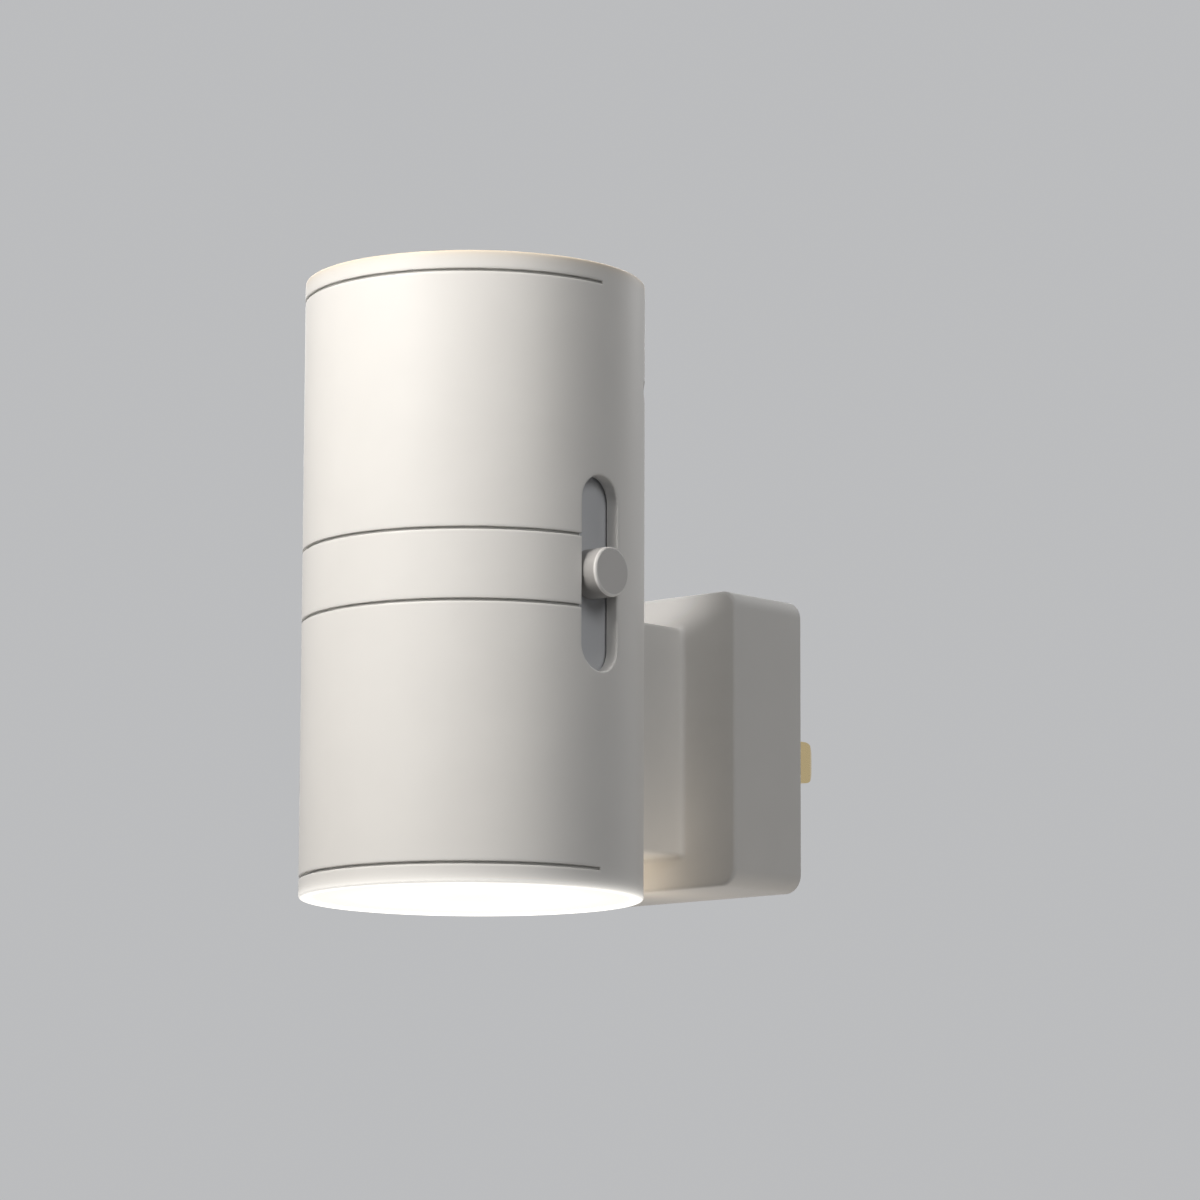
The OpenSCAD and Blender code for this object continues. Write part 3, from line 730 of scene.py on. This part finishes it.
class Shape:
    """A mesh in the making: grids of points in millimetres, welded where they meet."""

    def __init__(self) -> None:
        """Starts with no points."""
        self._points: list[np.ndarray] = []
        self._quads: list[np.ndarray] = []
        self._count = 0

    def grid(self, points: np.ndarray, wrap: tuple[bool, bool] = (False, False),
             keep: np.ndarray | None = None) -> None:
        """Adds a grid of points and the quads between neighbours.

        Args:
            points: the points, as rows by columns by three, in millimetres.
            wrap: whether the last row joins the first, and the last column the first.
            keep: a mask of the quads that are made, or None for all of them.
        """
        quads = grid_quads(*points.shape[:2], wrap) + self._count
        self._quads.append(quads.reshape(-1, 4) if keep is None else quads[keep])
        self._points.append(points.reshape(-1, 3))
        self._count += len(self._points[-1])

    def prism(self, outline: np.ndarray, step: Rgb) -> None:
        """Carries a closed outline along one step. Its ends are closed when the piece is made."""
        self.grid(np.stack([outline, outline + np.array(step)]), (False, True))

    def piece(self, name: str, body: Body, nodes: Sequence[str],
              material: bpy.types.Material) -> bpy.types.Object:
        """Welds the grids, closes every open loop and makes the piece.

        Args:
            name: the piece's name.
            body: the body that it rides on.
            nodes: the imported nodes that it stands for.
            material: its material.

        Returns:
            The piece.
        """
        mesh = bpy.data.meshes.new(name)
        points, quads = np.concatenate(self._points) * MM, np.concatenate(self._quads)
        mesh.from_pydata(points.tolist(), [], quads.tolist())
        form = bmesh.new()
        form.from_mesh(mesh)
        bmesh.ops.remove_doubles(form, verts=form.verts, dist=WELD)
        bmesh.ops.holes_fill(form, edges=form.edges, sides=0)
        bmesh.ops.recalc_face_normals(form, faces=form.faces)
        form.to_mesh(mesh)
        form.free()
        mesh.polygons.foreach_set("use_smooth", np.ones(len(mesh.polygons), dtype=bool))
        mesh.set_sharp_from_angle(angle=math.radians(SHARP_DEG))
        mesh.materials.append(material)
        made = bpy.data.objects.new(name, mesh)
        bpy.context.scene.collection.objects.link(made)
        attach(made, body.value)
        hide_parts(*nodes)
        log.info("made %s: %d faces", name, len(mesh.polygons))
        return made


# ---------------------------------------------------------------- the tube


@dataclass(frozen=True)
class Opening:
    """An opening in the tube's wall, drawn on a plane square to the way it looks.

    Its outline is a line of middle points with a radius round it, so it is a circle where the
    line has no length. An outline with square corners has the radius zero. It is cut out of the
    wall between two columns, in degrees, and two rows, in height.
    """

    turn: float
    columns: Pair
    rows: Pair
    across: float = 0.0
    up: float = 0.0
    half_across: float = 0.0
    half_up: float = 0.0
    radius: float = 0.0
    mouth: float = 0.0
    path: tuple[tuple[float, float | None], ...] = ((0.0, None),)
    grow: Pair = (0.0, 0.0)

    def ring(self, nodes: np.ndarray, out: float) -> np.ndarray:
        """Points of the outline, moved out from it, that belong to the nodes round it.

        With a radius, each is the middle line's nearest point plus the radius towards the node.
        With none, the nodes' own rectangle is scaled to the outline's.

        Args:
            nodes: points across and up, outside the outline.
            out: how far outside the outline, or how many times `grow` with square corners.

        Returns:
            The points, across and up.
        """
        centre = np.array([self.across, self.up])
        half = np.array([self.half_across, self.half_up])
        away = nodes - centre
        if self.radius == 0:
            return centre + away / np.abs(away).max(0) * (half + np.array(self.grow) * out)
        middle = np.clip(away, -half, half)
        away = away - middle
        away = away / np.linalg.norm(away, axis=1, keepdims=True)
        return centre + middle + away * (self.radius + out)


@dataclass
class LampTube:
    """The round tube in two halves, with every opening in its wall."""

    inner_radius: float = 23.0
    rim_radius: float = 0.4
    rim_inner_radius: float = 0.1
    lens_groove: float = 24.0
    lip: float = 0.6
    seat_z: float = 43.5
    wall_end: float = 45.0
    groove_z: tuple[float, ...] = (-42.5, -5.15, 5.15, 42.5)
    groove_half: float = 0.225
    groove_depth: float = 0.4
    slot_half_width: float = 3.75
    slot_half_line: float = 10.45
    slot_cut: float = 8.0
    slot_row: float = 19.0
    slot_edge: float = 0.3
    screw_x: float = 14.5
    screw_z: float = 23.0
    boss_rows: Pair = (19.0, 27.0)
    boss_turns: Pair = (27.86, 53.5)
    tunnel_radius: float = 2.6
    tunnel_edge: float = 0.1
    tunnel_path: tuple[tuple[float, float | None], ...] = (
        (0.0, 8.0), (-1.25, 8.0), (-1.25, 0.0), (0.9, 0.0), (0.9, None))
    pillar_radius: float = 3.5
    pilot_radius: float = 1.15
    pilot_depth: float = 9.0
    rail_half: float = 36.0
    groove_margin: float = 0.3
    front_step: float = 0.9
    rear_step: float = 0.8
    column_step: float = 1.7
    skin_rows: int = 8
    lining_rows: int = 4
    neck_window: Opening = Opening(90.0, (62.14, 117.86), (-38.5, -1.0), up=-19.4, half_across=7.9,
                                   half_up=16.35, path=((0.0, 19.0), (1.0, 19.0), (1.0, None)),
                                   grow=(2.6, 0.85))
    sensor_window: Opening = Opening(41.0, (30.5, 51.5), (27.0, 32.2), up=29.6, half_across=1.6,
                                     radius=1.4, mouth=0.12)
    plastic: Finish = ShellPlastic("warm_white_shell", (0.8, 0.785, 0.76), 0.4, specular=0.2)

    def _openings(self, half: Half) -> list[Opening]:
        """Every opening in one half: the slot, and at the back the four screw tunnels with their
        bosses, the neck's window with its land, and the sensor's window."""
        edge = math.degrees(math.asin(self.slot_cut / TUBE_RADIUS))
        columns = (0.0, edge) if half is Half.REAR else (360.0 - edge, 360.0)
        found = [Opening(0.0, columns, (-self.slot_row, self.slot_row), half_up=self.slot_half_line,
                         radius=self.slot_half_width, mouth=self.slot_edge)]
        if half is Half.FRONT:
            return found
        low, high = self.boss_rows
        for side in (-1, 1):
            columns = tuple(sorted(90 + side * turn for turn in self.boss_turns))
            for rows in ((-high, -low), (low, high)):
                found.append(Opening(90.0, columns, rows, side * self.screw_x, sum(rows) / 2,
                                     radius=self.tunnel_radius, mouth=self.tunnel_edge,
                                     path=self.tunnel_path))
        return [*found, self.neck_window, self.sensor_window]

    def _straight(self, *stops: float, most: float) -> np.ndarray:
        """A straight run of the outer wall's profile between stops, as radius and height."""
        z = steps(*stops, most=most)
        return np.stack([np.full_like(z, TUBE_RADIUS), z], 1)

    def _outer(self, half: Half, openings: Sequence[Opening]) -> np.ndarray:
        """The outer wall's profile from bottom to top, as radius and height.

        It hits both ends of every opening and of the slot's middle line. Only the front half has
        grooves. Each goes down in a soft lip, a steep side and a flat floor, and up the same way.
        """
        line, row, end = self.slot_half_line, self.slot_row, self.wall_end
        if half is Half.REAR:
            stops = {-end, -line, line, end, *(z for one in openings for z in one.rows)}
            return self._straight(*sorted(stops), most=self.rear_step)
        drawn_depth, drawn_half = 0.4, 0.235
        lip = np.array([[0.0, 0.33], [-0.02, 0.27], [-0.09, 0.235], [-0.34, 0.2], [-0.4, 0.15]])
        lip *= [self.groove_depth / drawn_depth, self.groove_half / drawn_half]
        groove = np.concatenate([lip * [1, -1], lip[::-1]]) + [TUBE_RADIUS, 0.0]
        reach = groove[:, 1].max() + self.groove_margin
        g = self.groove_z
        runs = [(-end, g[0] - reach), (g[0] + reach, -row, -line, g[1] - reach),
                (g[1] + reach, g[2] - reach), (g[2] + reach, line, row, g[3] - reach),
                (g[3] + reach, end)]
        parts = []
        for k, run in enumerate(runs):
            parts.append(self._straight(*run, most=self.front_step))
            if k < len(g):
                parts.append(groove + [0.0, g[k]])
        return np.concatenate(parts)

    def _rim(self) -> np.ndarray:
        """The top rim's profile, from the outer wall over the lip to the lens's seat. Both its
        edges are quarter circles."""
        turn, big, small = QUARTER[1:], self.rim_radius, self.rim_inner_radius
        outer = np.stack([TUBE_RADIUS - big + big * np.cos(turn),
                          TUBE_HALF - big + big * np.sin(turn)], 1)
        edge = np.stack([LENS_RADIUS + small - small * np.sin(turn),
                         TUBE_HALF - small + small * np.cos(turn)], 1)
        start = [[LENS_RADIUS + small, TUBE_HALF]]
        under = TUBE_HALF - self.lip
        seat = [[LENS_RADIUS, under], [self.lens_groove, under], [self.lens_groove, self.seat_z]]
        return np.concatenate([outer, start, edge, seat])

    def _columns(self, half: Half, openings: Sequence[Opening]) -> np.ndarray:
        """The angles round the tube, hitting both sides of every opening."""
        ends = (180.0, 360.0) if half is Half.FRONT else (0.0, 180.0)
        stops = sorted({*ends, *(c for o in openings for c in o.columns)})
        return np.radians(steps(*stops, most=self.column_step))

    def _cut(self, shape: Shape, opening: Opening, wall: np.ndarray, angle: np.ndarray,
             outer: np.ndarray, facing: np.ndarray, keep: np.ndarray) -> None:
        """Leaves the wall's quads out round an opening and lines the opening instead.

        Lines run from the nodes round the gap to the opening's outline, over its rounded mouth,
        along its path, and back over the inner surface to the nodes behind the first ones.

        Args:
            shape: the shape that gets the lining.
            opening: the opening.
            wall: the whole wall's points, by angle and by place on the profile.
            angle: the angle of each column.
            outer: the outer wall's profile.
            facing: for each outer place on the profile, the inner place behind it.
            keep: the mask of the wall's quads, which is changed.
        """
        column = [int(np.abs(angle - math.radians(c)).argmin()) for c in opening.columns]
        row = [int(np.abs(outer[:, 1] - z).argmin()) for z in opening.rows]
        keep[column[0]:column[1], row[0]:row[1]] = False
        keep[column[0]:column[1], facing[row[1]]:facing[row[0]]] = False
        c = np.arange(column[0], column[1] + 1)
        r = np.arange(row[0], row[1] + 1)
        top = np.stack([c[::-1], np.full_like(c, row[1])], 1)
        low = np.stack([c, np.full_like(c, row[0])], 1)
        left = np.stack([np.full_like(r, column[0]), r[::-1]], 1)
        right = np.stack([np.full_like(r, column[1]), r], 1)
        if column[1] == len(angle) - 1:
            around = np.concatenate([top, left[1:-1], low])
        elif column[0] == 0:
            around = np.concatenate([low, right[1:-1], top])
        else:
            around = np.concatenate([top[:-1], left[:-1], low[:-1], right[:-1]])
        turn = math.radians(opening.turn)
        cos, sin = math.cos(turn), math.sin(turn)
        axes = np.array([[cos, sin, 0], [-sin, cos, 0], [0, 0, 1]])
        near = wall[around[:, 0], around[:, 1]] @ axes.T
        back = wall[around[:, 0], facing[around[:, 1]]] @ axes.T
        bend = np.hypot(near[:, 0], near[:, 1])
        flat = near[:, 1:]

        def line(points: np.ndarray, depth: np.ndarray | float | None,
                 radius: np.ndarray | float = self.inner_radius) -> np.ndarray:
            """Puts points across and up at a depth, or on a round wall where that is None."""
            along = np.sqrt(radius**2 - points[:, 0] ** 2) if depth is None else depth
            return np.column_stack([np.broadcast_to(along, len(points)), points])

        first = opening.ring(flat, opening.mouth)
        lines = [line(ring, None, bend) for ring in (flat, *blended(flat, first, self.skin_rows))]
        for arc in QUARTER[1:] if opening.mouth else ():
            ring = opening.ring(flat, opening.mouth * (1 - math.sin(arc)))
            skin = np.sqrt(bend**2 - ring[:, 0] ** 2) - opening.mouth * (1 - math.cos(arc))
            lines.append(line(ring, skin))
        for out, depth in opening.path:
            last = opening.ring(flat, out)
            lines.append(line(last, depth))
        lines += [line(ring, None) for ring in blended(last, back[:, 1:], self.lining_rows)]
        closed = column[0] > 0 and column[1] < len(angle) - 1
        shape.grid(self._place(np.stack(lines) @ axes), (False, closed))

    def _place(self, points: np.ndarray) -> np.ndarray:
        """Moves points from the tube's own axis and middle to the frame."""
        return points + np.array([0.0, TUBE_Y, TUBE_Z])

    def _rail(self, shape: Shape, half: Half) -> None:
        """Adds the rail beside the shutter: a wall with a lip that reaches behind it.

        Each corner is a height across and a radius from the axis.
        """
        across = np.array([6.5, 7.5, 7.5, 5.5, 5.5, 6.5])
        radius = np.array([23.4, 23.4, 21.0, 21.0, 21.6, 21.6])
        x = np.sqrt(radius**2 - across**2)
        outline = np.column_stack([x, across * half.value, np.full(len(x), -self.rail_half)])
        shape.prism(self._place(outline), (0.0, 0.0, 2 * self.rail_half))

    def _pillars(self, shape: Shape) -> None:
        """Adds the front half's four screw pillars, from inside its wall to the parting plane.

        Each is a round bar along y with a blind hole. At its far end every point lies on a
        circle about the tube's axis, halfway through the wall.
        """
        middle = (self.inner_radius + TUBE_RADIUS) / 2
        for x in (-self.screw_x, self.screw_x):
            for z in (-self.screw_z, self.screw_z):
                bar = circle(BAR_SIDES, self.pillar_radius, (x, z))
                hole = circle(BAR_SIDES, self.pilot_radius, (x, z))
                rings = [at_depth(bar, lambda across: -np.sqrt(middle**2 - across**2)),
                         at_depth(bar, 0.0), at_depth(hole, 0.0), at_depth(hole, -self.pilot_depth)]
                shape.grid(self._place(np.stack(rings)), (False, True))

    def shell(self, half: Half, material: bpy.types.Material) -> bpy.types.Object:
        """Makes one half of the tube as a closed wall.

        The wall is a closed profile carried round half a turn: the point at angle a is
        (r cos a, r sin a, z) for each (r, z) of the profile.

        Args:
            half: which half.
            material: the material that both halves share.

        Returns:
            The piece.
        """
        openings = self._openings(half)
        outer, rim = self._outer(half, openings), self._rim()
        inner = np.stack([np.full(len(outer), self.inner_radius),
                          np.clip(outer[:, 1], -self.seat_z, self.seat_z)], 1)
        profile = np.concatenate([outer, rim, inner[::-1], (rim * [1, -1])[::-1]])
        facing = len(outer) + len(rim) + len(outer) - 1 - np.arange(len(outer))
        angle = self._columns(half, openings)
        x, y = (np.outer(way(angle), profile[:, 0]) for way in (np.cos, np.sin))
        wall = np.stack([x, y, np.broadcast_to(profile[:, 1], x.shape)], -1)
        keep = np.ones((len(angle) - 1, len(profile)), dtype=bool)
        shape = Shape()
        for opening in openings:
            self._cut(shape, opening, wall, angle, outer, facing, keep)
        shape.grid(self._place(wall), (False, True), keep)
        self._rail(shape, half)
        if half is Half.FRONT:
            self._pillars(shape)
        side = half.name.lower()
        return shape.piece(f"tube_{side}", Body.LAMP, [f"{side}_shell"], material)

    def build(self) -> None:
        """Makes both halves."""
        material = self.plastic.material()
        for half in Half:
            self.shell(half, material)


# ---------------------------------------------------------------- the plug base


@dataclass
class PlugBase:
    """The plug base and its neck, one moulding with a tenon that goes into the tube."""

    size: Pair = (38.0, 44.3)
    depth: float = 15.5
    corner: float = 2.8
    front_edge: float = 0.6
    back_edge: float = 0.25
    plate_rim: float = 1.4
    plate: float = 2.4
    wall: float = 2.4
    hollow_corner: float = 0.6
    neck: Pair = (17.5, 34.4)
    neck_corner: float = 0.6
    neck_fillet: float = 0.8
    tenon_step: float = 1.0
    tenon_y: float = -33.4
    passage: Pair = (9.0, 12.0)
    passage_corner: float = 0.3
    least_corner: float = 0.05
    saddle_radius: float = 25.1
    boss_at: Pair = (13.4, 16.6)
    boss_radius: float = 2.5
    pilot_radius: float = 1.15
    rib_x: Pair = (14.4, 16.6)
    rib_half: float = 9.0
    rib_y: float = -6.6
    side_rows: int = 5
    front_rows: int = 4
    neck_rows: int = 3
    plastic: Finish = GlowPaintedPlastic("warm_white_base", (0.8, 0.785, 0.76), 0.55, specular=0.2)

    def _ring(self, size: Pair, inset: float, corner: float,
              depth: float | Callable[[np.ndarray], np.ndarray]) -> np.ndarray:
        """One outline at a depth.

        Args:
            size: the outline's width and height.
            inset: how far inside that it lies, on every side.
            corner: its corner radius, before the inset.
            depth: its place along y, or a function of x that gives it.

        Returns:
            The outline's points.
        """
        width, height = (side - 2 * inset for side in size)
        corner = max(corner - inset, self.least_corner)
        return at_depth(rounded_outline(width, height, corner), depth)

    def _saddle(self, x: np.ndarray) -> np.ndarray:
        """The round hollow that the tube lies in: a circle about the tube's axis."""
        return TUBE_Y + np.sqrt(self.saddle_radius**2 - x**2)

    def _rings(self) -> list[np.ndarray]:
        """Every outline of the moulding in order: over the outside from the back rim to the
        tenon's end, then back through the wires' passage and the hollow to the back rim. Round
        each edge, left runs from one to zero and gone from zero to one, in a quarter circle."""
        body, neck, front, fillet = self.size, self.neck, -self.depth, self.neck_fillet
        turn = [(1 - math.sin(t), 1 - math.cos(t)) for t in QUARTER]
        rings = [self._ring(body, self.plate_rim, self.corner, 0.0)]
        for left, gone in turn:
            y = -self.back_edge * gone
            rings.append(self._ring(body, self.back_edge * left, self.corner, y))
        for y in np.linspace(-self.back_edge, front + self.front_edge, self.side_rows + 1)[1:]:
            rings.append(self._ring(body, 0.0, self.corner, y))
        for left, gone in turn[1:]:
            y = front + self.front_edge * left
            rings.append(self._ring(body, self.front_edge * gone, self.corner, y))
        root = self._ring(neck, -fillet, self.neck_corner, front)
        rings += blended(rings[-1], root, self.front_rows)
        for left, gone in turn[1:]:
            y = front - fillet * gone
            rings.append(self._ring(neck, -fillet * left, self.neck_corner, y))
        end = self._ring(neck, 0.0, self.neck_corner, self._saddle)
        rings += blended(rings[-1], end, self.neck_rows)
        hollow_corner = self.wall + self.hollow_corner
        return rings + [
            self._ring(neck, self.tenon_step, self.neck_corner, self._saddle),
            self._ring(neck, self.tenon_step, self.neck_corner, self.tenon_y),
            self._ring(self.passage, 0.0, self.passage_corner, self.tenon_y),
            self._ring(self.passage, 0.0, self.passage_corner, front + self.wall),
            self._ring(body, self.wall, hollow_corner, front + self.wall),
            self._ring(body, self.wall, hollow_corner, -self.plate),
            self._ring(body, self.plate_rim, self.corner, -self.plate),
        ]

    def _bosses(self, shape: Shape) -> None:
        """Adds the four bosses for the plate's screws, each a tube along y, and the two ribs
        that carry the driver board."""
        floor, top = -self.depth + self.wall, -self.plate
        outer, pilot = self.boss_radius, self.pilot_radius
        for side in (-1, 1):
            for up in (-1, 1):
                centre = (side * self.boss_at[0], up * self.boss_at[1])
                rings = [at_depth(circle(BAR_SIDES, r, centre), y)
                         for r, y in ((outer, floor), (outer, top), (pilot, top), (pilot, floor))]
                shape.grid(np.stack(rings), (True, True))
        (near, far), half = self.rib_x, self.rib_half
        corners = ((near, -half), (far, -half), (far, half), (near, half))
        for side in (-1, 1):
            outline = np.array([[side * x, floor, z] for x, z in corners])
            shape.prism(outline, (0.0, self.rib_y - floor, 0.0))

    def build(self) -> None:
        """Makes the moulding."""
        shape = Shape()
        shape.grid(np.stack(self._rings()), (True, True))
        self._bosses(shape)
        material = self.plastic.material()
        shape.piece("base_moulding", Body.LAMP, ["base_housing"], material)


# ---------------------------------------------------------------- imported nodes


@dataclass
class PackedParts:
    """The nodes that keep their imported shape, each with its own finish."""

    finishes: dict[Finish, tuple[str, ...]] = field(default_factory=lambda: {
        Diffuser("lit_diffuser_up", (0.36, 0.355, 0.345), 0.6, drift=0.01, specular=0.0,
                 strength=0.55): ("upper_lens",),
        Diffuser("lit_diffuser_down", (0.5, 0.49, 0.475), 0.6, drift=0.01, specular=0.2,
                 strength=1.12): ("lower_lens",),
        KnobLightPaintedPlastic("knob_white", (0.68, 0.665, 0.65), 0.5, specular=0.2): ("slide_knob",),
        Finish("shutter_white", (0.6, 0.61, 0.63), 0.5, grain_mm=0.4): ("slot_shutter",),
        Finish("plate_white", (0.78, 0.765, 0.74), 0.55, grain_mm=0.35, relief_um=14.0):
            ("back_plate",),
        Finish("reflector_white", (0.9, 0.9, 0.89), 0.2, coat=0.4):
            ("upper_reflector", "lower_reflector"),
        Phosphor("phosphor_yellow", (0.9, 0.72, 0.25), 0.3, coat=0.6): ("upper_leds", "lower_leds"),
        SolderMask("white_mask", (0.86, 0.86, 0.83), 0.3, coat=0.5, track=(0.72, 0.73, 0.7),
                   plane=(Axis.X, Axis.Y)): ("upper_led_board", "lower_led_board"),
        Finish("frame_grey", (0.5, 0.5, 0.49), 0.5, grain_mm=0.4, relief_um=5.0): ("chassis",),
        SolderMask("green_mask_control", (0.03, 0.2, 0.09), 0.28, coat=0.6, plane=(Axis.Y, Axis.Z)):
            ("control_board",),
        SolderMask("green_mask_driver", (0.03, 0.2, 0.09), 0.28, coat=0.6): ("driver_board",),
        Finish("chip_resin", (0.02, 0.02, 0.022), 0.55, grain_mm=0.12, relief_um=5.0):
            ("control_chip", "driver_chip", "bridge_rectifier"),
        DrawnMetal("tinned_steel", (0.62, 0.63, 0.64), 0.32, metallic=1.0, along=Axis.Z):
            ("dimmer_body",),
        Finish("lever_black", (0.03, 0.03, 0.032), 0.45): ("dimmer_lever",),
        Finish("smoked_window", (0.02, 0.018, 0.017), 0.08, grain_mm=1.5, relief_um=0.4, coat=0.5):
            ("sensor_window", "photo_sensor"),
        Finish("lead_red", (0.45, 0.03, 0.02), 0.35, grain_mm=0.5, relief_um=4.0):
            ("led_leads", "supply_leads"),
        DrawnMetal("rolled_brass", (0.78, 0.62, 0.34), 0.28, metallic=1.0, grain_mm=0.06):
            ("neutral_blade", "line_blade"),
        SleevedCan("shrunk_sleeve", (0.03, 0.045, 0.16), 0.3, coat=0.4): ("smoothing_capacitor",),
        WoundCoil("wound_ferrite", (0.04, 0.04, 0.042), 0.5, relief_um=60.0): ("inductor",),
        BandedCoat("banded_tan", (0.5, 0.34, 0.17), 0.4, relief_um=6.0): ("fusible_resistor",),
        DrawnMetal("zinc_plate", (0.66, 0.68, 0.7), 0.3, metallic=1.0, grain_mm=0.1, along=Axis.X,
                   line_stretch=4.0): ("shell_screws", "neck_screws", "plate_screws"),
    })

    def dress(self, nodes: dict[str, bpy.types.Object]) -> None:
        """Gives each node its finish.

        Args:
            nodes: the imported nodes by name.
        """
        for finish, names in self.finishes.items():
            material = finish.material()
            for name in names:
                nodes[name].material_slots[0].material = material
                log.info("dressed %s in %s", name, finish.name)


# ---------------------------------------------------------------- the studio


@dataclass(frozen=True)
class SoftLight:
    """One soft light: where it stands round the object, its size and what it gives."""

    name: str
    azimuth: float
    elevation: float
    distance: float
    size: float
    power: float
    target: Rgb = (0.0, -40.0, 10.0)
    colour: Rgb = WHITE


@dataclass
class Studio:
    """The camera, the soft lights, the plain floor and the background."""

    camera_at: Rgb = (517.454, -609.726, -100.874)
    yaw: float = 41.479
    pitch: float = 8.892
    roll: float = 0.213
    lens: float = 157.92
    sensor: float = 36.0
    clip_m: Pair = (0.01, 50.0)
    floor_z: float = -900.0
    floor_radius: float = 2000.0
    floor_fade: Pair = (150.0, 900.0)
    floor_colour: Rgb = (0.62, 0.62, 0.62)
    floor_light: float = 0.38
    floor_roughness: float = 0.9
    floor_specular: float = 0.1
    floor_rings: int = 8
    floor_sides: int = 64
    background: Rgb = (0.5, 0.505, 0.515)
    ambient: float = 0.05
    lights: tuple[SoftLight, ...] = (
        SoftLight("key", -4.0, 33.0, 0.38, 0.2, 1.81, (0.0, -40.0, 40.0), (0.97, 0.94, 0.9)),
        SoftLight("right_fill", 76.0, 30.0, 0.9, 0.5, 2.0),
        SoftLight("back_fill", 180.0, 30.0, 0.9, 0.5, 1.5),
        SoftLight("left_fill", 226.0, 25.0, 0.9, 0.5, 2.0),
        SoftLight("low_fill", 180.0, -55.0, 0.6, 0.5, 0.8, colour=(1.0, 0.93, 0.85)),
    )

    def _add(self, name: str, data: bpy.types.ID) -> bpy.types.Object:
        """Makes an object of the data and puts it in the scene."""
        made = bpy.data.objects.new(name, data)
        bpy.context.scene.collection.objects.link(made)
        return made

    def camera(self) -> None:
        """Puts the camera at the viewing angle and makes it the scene's.

        It looks along the yaw and pitch, and its right and up axes are turned by the roll.
        """
        yaw, pitch, roll = (math.radians(x) for x in (self.yaw, self.pitch, self.roll))
        flat, rise = math.cos(pitch), math.sin(pitch)
        forward = Vector((-math.sin(yaw) * flat, math.cos(yaw) * flat, rise))
        level = Vector((math.cos(yaw), math.sin(yaw), 0.0))
        above = level.cross(forward)
        right = level * math.cos(roll) + above * math.sin(roll)
        up = above * math.cos(roll) - level * math.sin(roll)
        data = bpy.data.cameras.new("camera")
        data.lens, data.sensor_width = self.lens, self.sensor
        data.clip_start, data.clip_end = self.clip_m
        made = self._add("camera", data)
        turn = Matrix((right, up, -forward)).transposed().to_4x4()
        made.matrix_world = Matrix.Translation(Vector(self.camera_at) * MM) @ turn
        bpy.context.scene.camera = made

    def light(self, one: SoftLight) -> None:
        """Adds one soft light that faces its target; azimuth 0 is on the -Y side and 90 on +X."""
        data = bpy.data.lights.new(one.name, "AREA")
        data.shape, data.size, data.energy, data.color = "DISK", one.size, one.power, one.colour
        made = self._add(one.name, data)
        a, e = math.radians(one.azimuth), math.radians(one.elevation)
        way = Vector((math.sin(a) * math.cos(e), -math.cos(a) * math.cos(e), math.sin(e)))
        made.location = Vector(one.target) * MM + way * one.distance
        made.rotation_euler = way.to_track_quat("Z", "Y").to_euler()
        made.visible_camera = False

    def world(self) -> None:
        """Shows a plain pale background, and lights the object with much less than that."""
        world = bpy.data.worlds.new("plain")
        world.use_nodes = True
        bpy.context.scene.world = world
        graph = Graph(world.node_tree)
        shown = graph.node("ShaderNodeBackground", {}, {"Color": self.background})
        lit = graph.node("ShaderNodeBackground", {}, {"Color": WHITE, "Strength": self.ambient})
        path = graph.node("ShaderNodeLightPath")
        seen, mirrored, through = (Value(graph, path.outputs[f"Is {ray} Ray"])
                                   for ray in ("Camera", "Glossy", "Transmission"))
        inputs = {0: seen.most(mirrored).most(through), 1: lit.outputs[0], 2: shown.outputs[0]}
        mix = graph.node("ShaderNodeMixShader", {}, inputs)
        graph.node("ShaderNodeOutputWorld", {}, {0: mix.outputs[0]})

    def floor(self) -> None:
        """Adds a round pale floor that fades into the background. It lies well below the lamp,
        which hangs on a wall, so that nothing hides the lamp from below."""
        radii = np.linspace(0.0, self.floor_radius, self.floor_rings + 1)[1:]
        sides = self.floor_sides
        rings = [np.column_stack([circle(sides, r), np.full(sides, self.floor_z)]) for r in radii]
        quads = grid_quads(len(radii), sides, (False, True)).reshape(-1, 4)
        faces = [*quads.tolist(), list(range(sides))]
        mesh = bpy.data.meshes.new("floor")
        mesh.from_pydata((np.concatenate(rings) * MM).tolist(), [], faces)
        paint = Paint("plain_floor")
        paint.give({"Base Color": self.floor_colour, "Roughness": self.floor_roughness,
                    "Specular IOR Level": self.floor_specular})
        paint.glow(WHITE, self.floor_light)
        x, y, _ = paint.along()
        clear = paint.node("ShaderNodeBsdfTransparent")
        fade = x.length(y).ramp(*self.floor_fade)
        inputs = {0: fade, 1: paint.shader.outputs[0], 2: clear.outputs[0]}
        paint.put(paint.output.inputs[0], paint.node("ShaderNodeMixShader", {}, inputs).outputs[0])
        mesh.materials.append(paint.material)
        self._add("floor", mesh)

    def build(self) -> None:
        """Sets the whole studio up."""
        bpy.context.scene.view_settings.view_transform = "Standard"
        self.camera()
        for one in self.lights:
            self.light(one)
        self.world()
        self.floor()
        log.info("studio: %d lights", len(self.lights))


def main() -> None:
    """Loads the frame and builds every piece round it."""
    logging.basicConfig(level=logging.INFO, format="%(name)s: %(message)s")
    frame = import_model()
    LampTube().build()
    PlugBase().build()
    PackedParts().dress(frame["nodes"])
    Studio().build()


if __name__ == "__main__":
    main()
